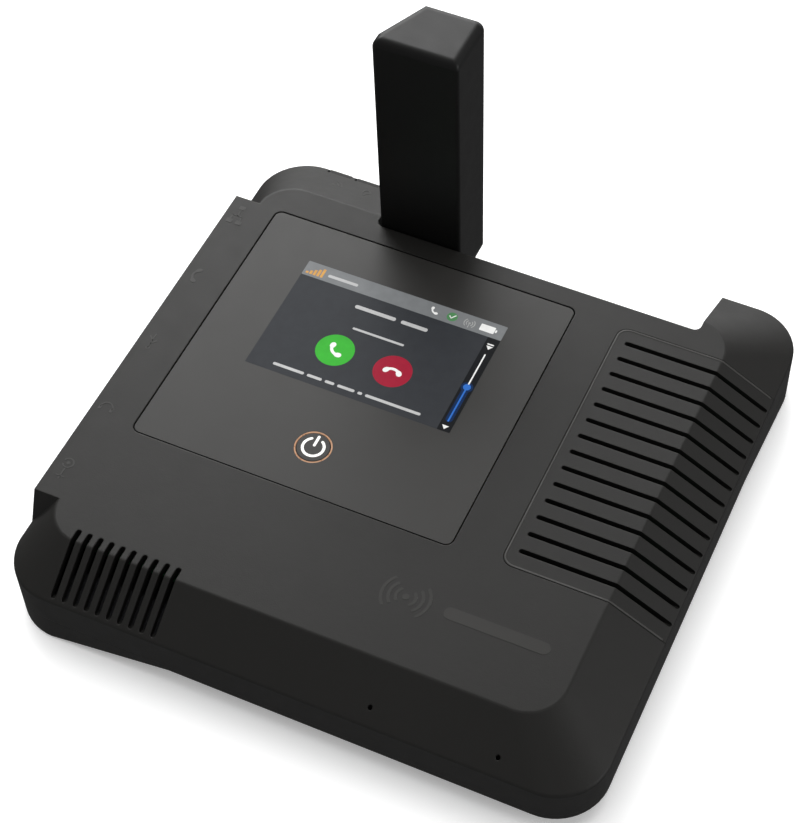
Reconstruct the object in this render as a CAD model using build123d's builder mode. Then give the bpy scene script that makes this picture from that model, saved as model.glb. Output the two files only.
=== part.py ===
from build123d import *
import math
import os

# Desk-top satellite phone: a flat square housing with sloping shoulders, a touch panel, a vent grille over
# its right shoulder and an antenna that folds up out of a bay in the rear edge.
# Frame: millimetres, +X right, +Y to the rear, +Z up, origin on the table under the middle of the housing.

os.makedirs("parts", exist_ok=True)

# ---- housing -------------------------------------------------------------------------------------------
width = 203.0
depth = 203.0
slab_height = 25.4  # side wall foot to plateau
belly_depth = 8.3  # belly below the side walls
foot_height = 1.0
side_wall_height = 14.0  # side wall foot to rim
corner_radius = 18.0
wall = 2.5
ceiling = 3.2
floor_thickness = 2.5
split_rise = 2.0  # parting line above the side wall foot
rim_fillet = 1.2
crest_fillet = 1.6
probe = 0.01  # how close an edge must lie to count as being at a position
slot_end = 0.49  # end radius as a share of a slot's width

crest_left = 9.0  # how far each edge of the plateau lies inside the housing's edge
crest_right = 19.5
crest_front = 17.2
crest_rear = 22.4
crest_radius = 13.0

ridge_front_y = -72.0  # the left edge keeps its full height between these two
ridge_rear_y = 67.0
ridge_ramp = 5.0
ridge_depth = 14.0

belly_inset = 9.0
pod_flat = 17.5  # corner pod: full depth within this of the side
pod_ramp = 44.0  # and ramps out over this length
belly_wall = 4.0

gap = 0.15  # between fixed pieces set into each other
part_gap = 0.3  # between pieces that move past each other
running_gap = 0.05  # radial, bushes and turned fits

# ---- antenna and its bay -------------------------------------------------------------------------------
bay_left_x = -50.2
bay_right_x = 70.4
bay_front_y = 74.4
bay_corner = 2.5
antenna_width = 30.5
antenna_front_y = 75.1
antenna_rear_y = 98.5
antenna_left_x = -48.9
antenna_top_z = 121.8
antenna_wall = 2.2
antenna_back_wall = 2.0
antenna_bevel_y = 80.0  # the outer bevel starts here and is this deep at the back
antenna_bevel = 8.6
antenna_edge = 1.2
antenna_back_edge = 3.4
antenna_tip_edge = 3.0

shaft_d = 8.0
shaft_bore = 5.0
shaft_front_y = 58.0
boss_d = 16.0
boss_length = 12.0
hinge_block_d = 22.0
hinge_block_length = 11.5
bush_d = 11.0
bush_length = 4.5
nut_flats = 11.0
nut_height = 2.2
thrust_washer_d = 14.0
spring_washer_d = 12.6
spring_washer_height = 1.0
coax_d = 3.0

helix_core_d = 15.0
helix_core_wall = 1.5
helix_wire_d = 1.0
helix_height = 66.0
helix_turns = 0.5
helix_arms = 4
antenna_board_size = (17.0, 15.0, 1.6)
antenna_post_size = (12.0, 10.0)
antenna_post_height = 6.0
back_window_margin = 2.0
back_window_right = 3.9
back_window_top = 7.0

# ---- front panel, display, power button ----------------------------------------------------------------
panel_x = (-84.7, 28.8)
panel_y = (-38.7, 66.4)
panel_radius = 2.5
panel_thickness = 1.6
panel_recess = 0.1  # panel below plateau
panel_gap = 0.45
adhesive_thickness = 0.3
adhesive_width = 4.0
window_inset = 5.7
display_x = (-69.0, 15.6)
display_y = (-3.7, 54.8)
display_thickness = 3.2
display_radius = 1.0
flex_size = (20.0, 0.3)
flex_inset = 1.0

button_x = -27.4
button_y = -21.4
light_ring_d = 12.6
light_ring_width = 0.5
button_gap = 0.15
button_flange_d = 13.4
button_flange = 0.7
button_edge = 0.25
button_travel = 0.5
stem_d = 4.0
stem_length = 0.8
switch_size = 6.0
switch_height = 3.0
plunger_d = 3.4
plunger_length = 1.4
button_board_size = (30.0, 20.0, 1.2)
button_board_radius = 1.0
button_post_d = 4.0
button_post_spacing = 24.0

# ---- vent grille, speaker slots, microphones -----------------------------------------------------------
vent_left_x = 45.4
vent_y = (-38.15, 65.75)
vent_radius = 4.0
vent_skirt = 2.5  # below the rim
slot_count = 14
slot_pitch = 7.0
slot_first_y = -31.5
slot_left_x = 49.3
slot_margin = 0.6  # slot end to the housing's edge
slot_width = 1.7

speaker_slot_count = 10
speaker_slot_pitch = 3.94
speaker_slot_first_x = -80.1
speaker_slot_y = (-100.2, -79.9)
speaker_slot_width = 1.8
speaker_size = (40.0, 14.0, 7.0)
speaker_radius = 5.0
speaker_rim = (3.0, 2.0)
speaker_dish = (2.0, 3.0)  # depth, corner radius
speaker_offset = 1.0  # behind the front wall
speaker_cloth_thickness = 0.4

mic_x = (28.3, 70.2)
mic_inset = 5.0  # hole centres behind the front face
mic_hole_d = 1.5
mic_boot_d = 3.6
mic_boot_height = 4.0
mic_boot_floor = 1.0

# ---- ports and covers ----------------------------------------------------------------------------------
port_wall = 5.0
port_pad_y = (-75.0, 71.5)
cover_thickness = 2.0
cover_clearance = 0.25
cover_backlash = 0.4  # behind a closed cover
trunnion_gap = 0.12
cover_width = 17.0
cover_height = 15.4
cover_rise = 2.1  # cover foot above the parting line
plug_depth = 1.2
plug_clearance = 0.5
trunnion_d = 1.2
trunnion_reach = 1.0

network_y = 58.6
phone_y = 28.2
usb_y = -3.4
audio_y = -34.3
power_y = -61.2
network_opening = (12.5, 9.0)
phone_opening = (10.2, 8.0)
usb_opening = (9.6, 4.0)
audio_opening_d = 6.6
power_opening_d = 8.6
network_body = (15.8, 13.0, 20.0)
phone_body = (13.2, 12.0, 17.0)
usb_body = (11.0, 9.0, 8.5)
audio_body = (9.0, 9.5, 12.0)
power_body = (10.6, 10.4, 13.0)
socket_lip = 0.4  # housing opening past the socket's own mouth
socket_back = 2.0
audio_bore_d = 3.6
power_bore_d = 5.6
power_pin_d = 2.1
power_pin_recess = 1.0

rear_cover_x = (-77.3, -66.35)
rear_cover_width = 8.8
rear_cover_height = 10.4
rear_cover_rise = 1.6
rear_trunnion_reach = 0.5
rear_pad_x = (-86.0, -57.5)
rf_jack_d = 6.35
rf_jack_length = 10.0
rf_nut_flats = 8.0
rf_nut_height = 2.0
rf_jack_bore = 1.3
rf_bore_depth = 4.0

# ---- inside --------------------------------------------------------------------------------------------
board_thickness = 1.6
board_rise = 4.1  # board underside above the side wall foot
board_inset_x = (5.9, 11.5)  # from the left and right faces
board_front_y = -74.0
board_rear_y = 59.0
board_wing_x = -60.0
board_wing_y = 69.0
board_hole_gap = 0.5

battery_x = (-58.0, 48.0)
battery_y = (-43.0, 23.0)
battery_thickness = 8.2
battery_gap = 0.5
battery_radius = 3.0
bay_wall = 1.5
bay_roof = 1.2
door_thickness = 1.8
door_margin = 4.0
door_radius = 5.0
seal_thickness = 0.5
seal_width = 1.6
door_screw_d = 4.0
door_screw_head_d = 7.0
door_screw_head = 1.0
door_screw_tip = 1.0  # below the side wall foot
door_lug_wall = 3.0
coin_slot = (5.5, 1.0, 0.6)
contact_size = (4.0, 20.0, 3.0)

modem_x = (4.0, 40.0)
modem_y = (-62.0, -24.0)
modem_height = 3.0
modem_radius = 1.0
shield_gap = 0.6
shield_wall = 0.4
processor_centre = (64.0, 12.0)
processor_size = (20.0, 20.0, 2.0)
pad_thickness = 2.0
sink_x = (52.0, 80.0)
sink_y = (-34.0, 61.0)
sink_base = 2.5
sink_fin = 1.6
gnss_centre = (57.0, -58.0)
gnss_size = (25.0, 25.0, 4.0)
sim_centre = (-30.0, -62.0)
sim_size = (17.0, 15.0, 1.5)
wifi_size = (40.0, 0.8, 8.0)
wifi_lift = 0.5
wifi_x = -8.0
wifi_side_y = 10.0
coax_plug_size = (6.0, 6.0)
coax_plug_y = 48.0

screw_points = ((-62.0, -62.0), (-6.0, -62.0), (78.5, -58.0), (78.5, 70.0), (-57.5, 66.0), (34.5, 66.0))
screw_d = 3.0
screw_head_d = 5.6
screw_head_height = 1.8
screw_bite = 9.0
screw_tip_gap = 1.0
screw_sink = 1.0  # head below the underside
post_d = 6.4
post_base_d = 8.4

foot_d = 16.0
foot_inset = 20.0
foot_pocket = 1.0

gasket_inset = 0.8
gasket_width = 0.9
gasket_height = 0.6

# ---- what follows from them ----------------------------------------------------------------------------
left_x = -width / 2
right_x = width / 2
front_y = -depth / 2
rear_y = depth / 2
underside_z = foot_height
base_z = underside_z + belly_depth
split_z = base_z + split_rise
rim_z = base_z + side_wall_height
top_z = base_z + slab_height
ceiling_z = top_z - ceiling
floor_z = underside_z + floor_thickness
mic_y = front_y + mic_inset
board_x = (left_x + board_inset_x[0], right_x - board_inset_x[1])
board_z = base_z + board_rise
board_top_z = board_z + board_thickness

slope = (top_z - rim_z) / crest_front
slope_wall = wall * math.hypot(1, slope)  # shoulder's wall, measured upright
inner_rim_z = rim_z + wall * slope - slope_wall
inner_crest = (slope_wall - ceiling) / slope

hinge_x = antenna_left_x + antenna_width / 2
hinge_z = top_z - antenna_width / 2
antenna_right_x = antenna_left_x + antenna_width

panel_top_z = top_z - panel_recess
panel_z = panel_top_z - panel_thickness
ledge_z = panel_z - adhesive_thickness

cover_z = split_z + cover_rise
port_z = cover_z + cover_height / 2
cover_axis_z = cover_z + cover_thickness / 2
recess_depth = cover_thickness + cover_backlash
trunnion_x = left_x + cover_thickness / 2
trunnion_y = rear_y - cover_thickness / 2
rear_cover_z = split_z + rear_cover_rise
rear_port_z = rear_cover_z + rear_cover_height / 2
rear_cover_axis_z = rear_cover_z + cover_thickness / 2
port_face_x = left_x + port_wall
port_face_y = rear_y - port_wall


def save(piece, name):
    """Label a finished piece and write it."""
    piece.part.label = name
    export_step(piece.part, f"parts/{name}.step")


def block(x, y, z, mode=Mode.ADD):
    """A box between two values on each axis, added to the open part."""
    with Locations(((x[0] + x[1]) / 2, (y[0] + y[1]) / 2, (z[0] + z[1]) / 2)):
        Box(x[1] - x[0], y[1] - y[0], z[1] - z[0], mode=mode)


def plate(x, y, z, radius, mode=Mode.ADD):
    """A plate with rounded corners between two values on each axis."""
    with BuildSketch(Plane.XY.offset(z[0])) as outline:
        with Locations(((x[0] + x[1]) / 2, (y[0] + y[1]) / 2)):
            RectangleRounded(x[1] - x[0], y[1] - y[0], radius)
    extrude(outline.sketch, amount=z[1] - z[0], mode=mode)


def rod(diameter, x, y, z, mode=Mode.ADD):
    """An upright round rod between two heights."""
    with BuildSketch(Plane.XY.offset(z[0])) as outline:
        with Locations((x, y)):
            Circle(diameter / 2)
    extrude(outline.sketch, amount=z[1] - z[0], mode=mode)


def rod_y(diameter, x, z, y, mode=Mode.ADD):
    """A round rod along Y between two values of y."""
    with BuildSketch(Plane.XZ.offset(-y[1])) as outline:
        with Locations((x, z)):
            Circle(diameter / 2)
    extrude(outline.sketch, amount=y[1] - y[0], mode=mode)


def rod_x(diameter, y, z, x, mode=Mode.ADD):
    """A round rod along X between two values of x."""
    with BuildSketch(Plane.YZ.offset(x[0])) as outline:
        with Locations((y, z)):
            Circle(diameter / 2)
    extrude(outline.sketch, amount=x[1] - x[0], mode=mode)


def edges_at(piece, axis, position):
    """The edges of a piece that lie at one position along an axis."""
    return piece.edges().filter_by_position(axis, position - probe, position + probe)


def around(centre, size):
    """The two ends of a length about its middle."""
    return centre - size / 2, centre + size / 2


def plan(inset, bay_margin=None):
    """The housing's plan with the antenna bay cut out, drawn a distance inside the edge."""
    margin = inset if bay_margin is None else bay_margin
    RectangleRounded(width - 2 * inset, depth - 2 * inset, corner_radius - inset)
    bay_x = (bay_left_x - margin, bay_right_x + margin)
    bay_y = (bay_front_y - margin, rear_y + corner_radius)
    with Locations(((bay_x[0] + bay_x[1]) / 2, (bay_y[0] + bay_y[1]) / 2)):
        RectangleRounded(bay_x[1] - bay_x[0], bay_y[1] - bay_y[0], bay_corner + margin, mode=Mode.SUBTRACT)


def crest_outline(shift):
    """The plateau's outline, moved outwards by a distance."""
    x = (left_x + crest_left - shift, right_x - crest_right + shift)
    y = (front_y + crest_front - shift, rear_y - crest_rear + shift)
    with Locations(((x[0] + x[1]) / 2, (y[0] + y[1]) / 2)):
        RectangleRounded(x[1] - x[0], y[1] - y[0], crest_radius + shift)


def bay(margin, z):
    """The antenna bay as a block, for cutting."""
    x = (bay_left_x - margin, bay_right_x + margin)
    plate(x, (bay_front_y - margin, rear_y + corner_radius), z, bay_corner + margin, Mode.SUBTRACT)


# ---- forms that several pieces share -------------------------------------------------------------------
with BuildPart() as shoulder_form:
    with BuildSketch(Plane.XY.offset(split_z)):
        RectangleRounded(width, depth, corner_radius)
    extrude(amount=rim_z - split_z)
    with BuildSketch(Plane.XY.offset(rim_z)):
        RectangleRounded(width, depth, corner_radius)
    with BuildSketch(Plane.XY.offset(top_z)):
        crest_outline(0)
    loft()
    fillet(edges_at(shoulder_form, Axis.Z, rim_z), rim_fillet)
    fillet(edges_at(shoulder_form, Axis.Z, top_z), crest_fillet)
    with BuildSketch(Plane.YZ.offset(left_x)):
        with BuildLine():
            Polyline(
                (ridge_front_y - ridge_ramp, rim_z - rim_fillet * 2),
                (ridge_front_y - ridge_ramp, rim_z),
                (ridge_front_y, top_z),
                (ridge_rear_y, top_z),
                (ridge_rear_y + ridge_ramp, rim_z),
                (ridge_rear_y + ridge_ramp, rim_z - rim_fillet * 2),
                close=True,
            )
        make_face()
    extrude(amount=ridge_depth)

with BuildPart() as inner_form:
    with BuildSketch(Plane.XY.offset(split_z)):
        RectangleRounded(width - 2 * wall, depth - 2 * wall, corner_radius - wall)
    extrude(amount=inner_rim_z - split_z)
    with BuildSketch(Plane.XY.offset(inner_rim_z)):
        RectangleRounded(width - 2 * wall, depth - 2 * wall, corner_radius - wall)
    with BuildSketch(Plane.XY.offset(ceiling_z)):
        crest_outline(inner_crest)
    loft()
    block(
        (left_x + port_wall, left_x + ridge_depth),
        (ridge_front_y + wall, ridge_rear_y - wall),
        (split_z, ceiling_z),
    )
    block(
        (left_x + port_wall, left_x + ridge_depth),
        (0, ridge_rear_y),
        (split_z, port_z + network_body[1] / 2 + part_gap),
    )
    bay(wall, (split_z, top_z))

# ---- upper housing -------------------------------------------------------------------------------------
vent_x = (vent_left_x, right_x + vent_radius * 2)
vent_z = (rim_z - vent_skirt, top_z + 1)
slot_z = (rim_z - slot_margin, top_z + 1)
slot_x = (slot_left_x, right_x - slot_margin)
slots_y = [slot_first_y + i * slot_pitch for i in range(slot_count)]
speaker_slots_x = [speaker_slot_first_x + i * speaker_slot_pitch for i in range(speaker_slot_count)]
speaker_x = (speaker_slots_x[0] + speaker_slots_x[-1]) / 2
covers_y = (network_y, phone_y, usb_y, audio_y, power_y)
window_x = (panel_x[0] + window_inset, panel_x[1] - window_inset)
window_y = (panel_y[0] + window_inset, panel_y[1] - window_inset)

with BuildPart() as upper_housing:
    add(shoulder_form.part)
    add(inner_form.part, mode=Mode.SUBTRACT)
    block((left_x + wall, port_face_x), port_pad_y, (split_z, inner_rim_z))
    block(rear_pad_x, (port_face_y, rear_y - wall), (split_z, inner_rim_z))
    for x, y in screw_points:
        rod(post_d, x, y, (board_z, ceiling_z))
    add(shoulder_form.part, mode=Mode.INTERSECT)
    rod_y(boss_d, hinge_x, hinge_z, (bay_front_y - boss_length, bay_front_y - wall))
    bay(0, (split_z, top_z))
    panel_cut_x = (panel_x[0] - panel_gap, panel_x[1] + panel_gap)
    panel_cut_y = (panel_y[0] - panel_gap, panel_y[1] + panel_gap)
    plate(panel_cut_x, panel_cut_y, (ledge_z, top_z), panel_radius + panel_gap, Mode.SUBTRACT)
    block(window_x, window_y, (ceiling_z, ledge_z), Mode.SUBTRACT)
    plate(vent_x, vent_y, vent_z, vent_radius, Mode.SUBTRACT)
    for x in speaker_slots_x:
        slot_sides = around(x, speaker_slot_width)
        plate(slot_sides, speaker_slot_y, slot_z, speaker_slot_width * slot_end, Mode.SUBTRACT)
    for x in mic_x:
        rod(mic_hole_d, x, mic_y, (inner_rim_z, top_z), Mode.SUBTRACT)
    for x, y in screw_points:
        rod(screw_d + 2 * running_gap, x, y, (board_z, board_z + screw_bite + screw_tip_gap), Mode.SUBTRACT)
    boss_y = (bay_front_y - boss_length, bay_front_y)
    rod_y(shaft_d + 2 * running_gap, hinge_x, hinge_z, boss_y, Mode.SUBTRACT)
    for y in covers_y:
        recess = around(y, cover_width + 2 * cover_clearance)
        recess_z = (cover_z - cover_clearance, cover_z + cover_height + cover_clearance)
        block((left_x, left_x + recess_depth), recess, recess_z, Mode.SUBTRACT)
        hole_y = around(y, cover_width + 2 * (cover_clearance + trunnion_reach + trunnion_gap))
        rod_y(trunnion_d + 2 * trunnion_gap, trunnion_x, cover_axis_z, hole_y, Mode.SUBTRACT)
    port_depth = (left_x + recess_depth, port_face_x)
    for y, opening in ((network_y, network_opening), (phone_y, phone_opening), (usb_y, usb_opening)):
        block(port_depth, around(y, opening[0]), around(port_z, opening[1]), Mode.SUBTRACT)
    rod_x(audio_opening_d, audio_y, port_z, port_depth, Mode.SUBTRACT)
    rod_x(power_opening_d, power_y, port_z, port_depth, Mode.SUBTRACT)
    for x in rear_cover_x:
        recess = around(x, rear_cover_width + 2 * cover_clearance)
        recess_z = (rear_cover_z - cover_clearance, top_z)
        block(recess, (rear_y - recess_depth, rear_y), recess_z, Mode.SUBTRACT)
        hole_x = around(x, rear_cover_width + 2 * (cover_clearance + rear_trunnion_reach + trunnion_gap))
        rod_x(trunnion_d + 2 * trunnion_gap, trunnion_y, rear_cover_axis_z, hole_x, Mode.SUBTRACT)
        rod_y(rf_jack_d + 2 * gap, x, rear_port_z, (port_face_y, rear_y - recess_depth), Mode.SUBTRACT)
save(upper_housing, "upper_housing")

# ---- vent grille ---------------------------------------------------------------------------------------
with BuildPart() as vent_grille:
    add(shoulder_form.part)
    add(inner_form.part, mode=Mode.SUBTRACT)
    plate(
        (vent_x[0] + gap, vent_x[1]),
        (vent_y[0] + gap, vent_y[1] - gap),
        (vent_z[0] + gap, vent_z[1]),
        vent_radius - gap,
        Mode.INTERSECT,
    )
    for y in slots_y:
        plate(slot_x, around(y, slot_width), slot_z, slot_width * slot_end, Mode.SUBTRACT)
save(vent_grille, "vent_grille")

# ---- lower housing -------------------------------------------------------------------------------------
battery_z = underside_z + door_thickness + seal_thickness
head_z = underside_z + screw_sink
bay_x = (battery_x[0] - battery_gap, battery_x[1] + battery_gap)
bay_y = (battery_y[0] - battery_gap, battery_y[1] + battery_gap)
bay_top_z = battery_z + battery_thickness + battery_gap
door_x = (bay_x[0] - door_margin, bay_x[1] + door_margin)
door_y = (bay_y[0] - door_margin, bay_y[1] + door_margin)
door_mid_y = (door_y[0] + door_y[1]) / 2
door_screw_x = (door_x[0] - door_screw_head_d / 2, door_x[1] + door_screw_head_d / 2)
door_screw_points = [(door_screw_x[0], door_mid_y), (door_screw_x[1], door_mid_y)]
door_lug_d = door_screw_head_d + 2 * door_lug_wall
foot_x = width / 2 - foot_inset
foot_y = depth / 2 - foot_inset
foot_points = [(-foot_x, -foot_y), (-foot_x, foot_y), (foot_x, -foot_y), (foot_x, foot_y)]


def pod_wedge(plane, side):
    """Full-depth corner that ramps up to the side walls, seen along one axis."""
    edge = side * width / 2
    with BuildSketch(plane) as wedge:
        with BuildLine():
            Polyline(
                (edge, base_z),
                (edge, underside_z),
                (edge - side * pod_flat, underside_z),
                (edge - side * (pod_flat + pod_ramp), base_z),
                close=True,
            )
        make_face()
    return wedge.sketch


def corner_pod(side):
    """One corner pod: the plan's corner, cut to a ramp along both sides."""
    with BuildPart() as pod:
        with BuildSketch(Plane.XY.offset(underside_z)):
            RectangleRounded(width, depth, corner_radius)
        extrude(amount=belly_depth)
        extrude(pod_wedge(Plane.XZ.offset(-depth / 2), side), amount=depth, mode=Mode.INTERSECT)
        extrude(pod_wedge(Plane.YZ.offset(-width / 2), side), amount=width, mode=Mode.INTERSECT)
    return pod.part


pods = [corner_pod(-1), corner_pod(1)]

with BuildPart() as lower_housing:
    with BuildSketch(Plane.XY.offset(base_z)):
        RectangleRounded(width, depth, corner_radius)
    extrude(amount=-belly_depth, taper=math.degrees(math.atan2(belly_inset, belly_depth)))
    with BuildSketch(Plane.XY.offset(base_z)):
        RectangleRounded(width, depth, corner_radius)
    extrude(amount=split_rise)
    for pod in pods:
        add(pod)
    bay(0, (0, split_z))
    with BuildSketch(Plane.XY.offset(floor_z)):
        plan(belly_inset + belly_wall, wall)
    extrude(amount=split_z - floor_z, mode=Mode.SUBTRACT)
    with BuildSketch(Plane.XY.offset(base_z)):
        plan(wall)
    extrude(amount=split_rise, mode=Mode.SUBTRACT)
    block(
        (bay_x[0] - bay_wall, bay_x[1] + bay_wall),
        (bay_y[0] - bay_wall, bay_y[1] + bay_wall),
        (floor_z, bay_top_z + bay_roof),
    )
    block(bay_x, bay_y, (0, bay_top_z), Mode.SUBTRACT)
    plate(door_x, door_y, (0, underside_z + door_thickness + seal_thickness), door_radius, Mode.SUBTRACT)
    for x, y in door_screw_points:
        rod(door_lug_d, x, y, (floor_z, base_z))
        rod(door_lug_d + 2 * gap, x, y, (0, underside_z + door_thickness), Mode.SUBTRACT)
        rod(door_screw_d + 2 * running_gap, x, y, (0, base_z - door_screw_tip), Mode.SUBTRACT)
    for x, y in screw_points:
        rod(post_base_d, x, y, (floor_z, base_z))
        rod(post_d, x, y, (base_z, board_z))
        rod(screw_d + 2 * running_gap, x, y, (0, board_z), Mode.SUBTRACT)
        rod(screw_head_d + 2 * gap, x, y, (0, head_z + screw_head_height), Mode.SUBTRACT)
    for x, y in foot_points:
        rod(foot_d + 2 * gap, x, y, (0, underside_z + foot_pocket), Mode.SUBTRACT)
    with BuildSketch(Plane.XY.offset(split_z - gasket_height)):
        plan(gasket_inset)
        with BuildSketch(mode=Mode.PRIVATE) as inside:
            plan(gasket_inset + gasket_width)
        add(inside.sketch, mode=Mode.SUBTRACT)
    extrude(amount=gasket_height, mode=Mode.SUBTRACT)
save(lower_housing, "lower_housing")

with BuildPart() as housing_gasket:
    with BuildSketch(Plane.XY.offset(split_z - gasket_height)):
        plan(gasket_inset)
        with BuildSketch(mode=Mode.PRIVATE) as inside:
            plan(gasket_inset + gasket_width)
        add(inside.sketch, mode=Mode.SUBTRACT)
    extrude(amount=gasket_height)
save(housing_gasket, "housing_gasket")

with BuildPart() as housing_screws:
    for x, y in screw_points:
        rod(screw_head_d, x, y, (head_z, head_z + screw_head_height))
        rod(screw_d, x, y, (head_z + screw_head_height, board_z + screw_bite))
save(housing_screws, "housing_screws")

with BuildPart() as rubber_feet:
    for x, y in foot_points:
        rod(foot_d, x, y, (0, underside_z + foot_pocket))
    fillet(edges_at(rubber_feet, Axis.Z, 0), foot_height / 2)
save(rubber_feet, "rubber_feet")

# ---- battery and its door ------------------------------------------------------------------------------
head_top_z = underside_z + door_screw_head
with BuildPart() as battery_door:
    plate(
        (door_x[0] + gap, door_x[1] - gap),
        (door_y[0] + gap, door_y[1] - gap),
        (underside_z, underside_z + door_thickness),
        door_radius - gap,
    )
    for x, y in door_screw_points:
        rod(door_lug_d, x, y, (underside_z, underside_z + door_thickness))
        rod(door_screw_d + 2 * gap, x, y, (underside_z, underside_z + door_thickness), Mode.SUBTRACT)
        rod(door_screw_head_d + 2 * gap, x, y, (underside_z, head_top_z), Mode.SUBTRACT)
save(battery_door, "battery_door")

with BuildPart() as battery_door_screws:
    for x, y in door_screw_points:
        rod(door_screw_head_d, x, y, (underside_z + gap, head_top_z))
        rod(door_screw_d, x, y, (head_top_z, base_z - door_screw_tip - gap))
        slot_depth = (underside_z, underside_z + coin_slot[2])
        block(around(x, coin_slot[0]), around(y, coin_slot[1]), slot_depth, Mode.SUBTRACT)
save(battery_door_screws, "battery_door_screws")

seal_z = (underside_z + door_thickness, battery_z)
with BuildPart() as battery_door_seal:
    plate(
        (door_x[0] + gap, door_x[1] - gap), (door_y[0] + gap, door_y[1] - gap), seal_z, door_radius - gap
    )
    inner_x = (door_x[0] + gap + seal_width, door_x[1] - gap - seal_width)
    inner_y = (door_y[0] + gap + seal_width, door_y[1] - gap - seal_width)
    plate(inner_x, inner_y, seal_z, door_radius - gap - seal_width, Mode.SUBTRACT)
save(battery_door_seal, "battery_door_seal")

with BuildPart() as battery_pack:
    plate(battery_x, battery_y, (battery_z, battery_z + battery_thickness), battery_radius)
    contact_pocket_x = (battery_x[1] - contact_size[0], battery_x[1])
    contact_y = around((battery_y[0] + battery_y[1]) / 2, contact_size[1])
    pocket_z = battery_z + battery_thickness - contact_size[2]
    block(
        contact_pocket_x,
        (contact_y[0] - gap, contact_y[1] + gap),
        (pocket_z, battery_z + battery_thickness),
        Mode.SUBTRACT,
    )
save(battery_pack, "battery_pack")

with BuildPart() as battery_contacts:
    block(
        (battery_x[1] - contact_size[0] + gap, bay_x[1]),
        contact_y,
        (pocket_z + gap, bay_top_z),
    )
save(battery_contacts, "battery_contacts")

# ---- front panel and display ---------------------------------------------------------------------------
with BuildPart() as front_panel:
    plate(panel_x, panel_y, (panel_z, panel_top_z), panel_radius)
    rod(light_ring_d + 2 * running_gap, button_x, button_y, (panel_z, panel_top_z), Mode.SUBTRACT)
save(front_panel, "front_panel")

with BuildPart() as panel_adhesive:
    plate(
        (panel_x[0] + gap, panel_x[1] - gap),
        (panel_y[0] + gap, panel_y[1] - gap),
        (ledge_z, panel_z),
        panel_radius - gap,
    )
    block(
        (panel_x[0] + adhesive_width, panel_x[1] - adhesive_width),
        (panel_y[0] + adhesive_width, panel_y[1] - adhesive_width),
        (ledge_z, panel_z),
        Mode.SUBTRACT,
    )
save(panel_adhesive, "panel_adhesive")

with BuildPart() as display_module:
    plate(display_x, display_y, (panel_z - display_thickness, panel_z), display_radius)
save(display_module, "display_module")

with BuildPart() as display_flex:
    flex_x = around((display_x[0] + display_x[1]) / 2, flex_size[0])
    flex_y = (display_y[0] + flex_inset, display_y[0] + flex_inset + flex_size[1])
    block(flex_x, flex_y, (board_top_z, panel_z - display_thickness))
save(display_flex, "display_flex")

# ---- power button --------------------------------------------------------------------------------------
cap_d = light_ring_d - 2 * light_ring_width - 2 * button_gap
flange_top_z = panel_z - running_gap * 2
stem_z = flange_top_z - button_flange
plunger_z = stem_z - stem_length
switch_top_z = plunger_z - button_travel - running_gap

with BuildPart() as button_light_ring:
    rod(light_ring_d, button_x, button_y, (panel_z, panel_top_z))
    rod(light_ring_d - 2 * light_ring_width, button_x, button_y, (panel_z, panel_top_z), Mode.SUBTRACT)
save(button_light_ring, "button_light_ring")

with BuildPart() as power_button:
    rod(cap_d, button_x, button_y, (flange_top_z, panel_top_z))
    rod(button_flange_d, button_x, button_y, (stem_z, flange_top_z))
    rod(stem_d, button_x, button_y, (plunger_z, stem_z))
    fillet(edges_at(power_button, Axis.Z, panel_top_z), button_edge)
save(power_button, "power_button")

with BuildPart() as switch_plunger:
    rod(plunger_d, button_x, button_y, (plunger_z - plunger_length, plunger_z))
save(switch_plunger, "switch_plunger")

with BuildPart() as power_switch:
    block(
        around(button_x, switch_size),
        around(button_y, switch_size),
        (switch_top_z - switch_height, switch_top_z),
    )
    rod(
        plunger_d + 4 * running_gap,
        button_x,
        button_y,
        (plunger_z - plunger_length - 2 * button_travel, switch_top_z),
        Mode.SUBTRACT,
    )
save(power_switch, "power_switch")

button_board_z = switch_top_z - switch_height
with BuildPart() as button_board:
    plate(
        around(button_x, button_board_size[0]),
        around(button_y, button_board_size[1]),
        (button_board_z - button_board_size[2], button_board_z),
        button_board_radius,
    )
    for x in around(button_x, button_post_spacing):
        rod(button_post_d, x, button_y, (board_top_z, button_board_z - button_board_size[2]))
save(button_board, "button_board")

# ---- port covers ---------------------------------------------------------------------------------------


def side_cover(y, name, opening=None, round_d=None):
    """A left port cover: a flap with trunnions at its foot and the plug that fills its opening."""
    plug_x = (left_x + cover_thickness, left_x + cover_thickness + plug_depth)
    with BuildPart() as cover:
        cover_y = around(y, cover_width)
        block((left_x, left_x + cover_thickness), cover_y, (cover_axis_z, cover_z + cover_height))
        rod_y(cover_thickness, trunnion_x, cover_axis_z, cover_y)
        trunnions_y = around(y, cover_width + 2 * (cover_clearance + trunnion_reach))
        rod_y(trunnion_d, trunnion_x, cover_axis_z, trunnions_y)
        if round_d is None:
            size = [side - 2 * plug_clearance for side in opening]
            block(plug_x, around(y, size[0]), around(port_z, size[1]))
        else:
            rod_x(round_d - 2 * plug_clearance, y, port_z, plug_x)
    save(cover, name)


side_cover(network_y, "network_port_cover", network_opening)
side_cover(phone_y, "phone_port_cover", phone_opening)
side_cover(usb_y, "usb_port_cover", usb_opening)
side_cover(audio_y, "audio_port_cover", round_d=audio_opening_d)
side_cover(power_y, "power_port_cover", round_d=power_opening_d)


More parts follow.
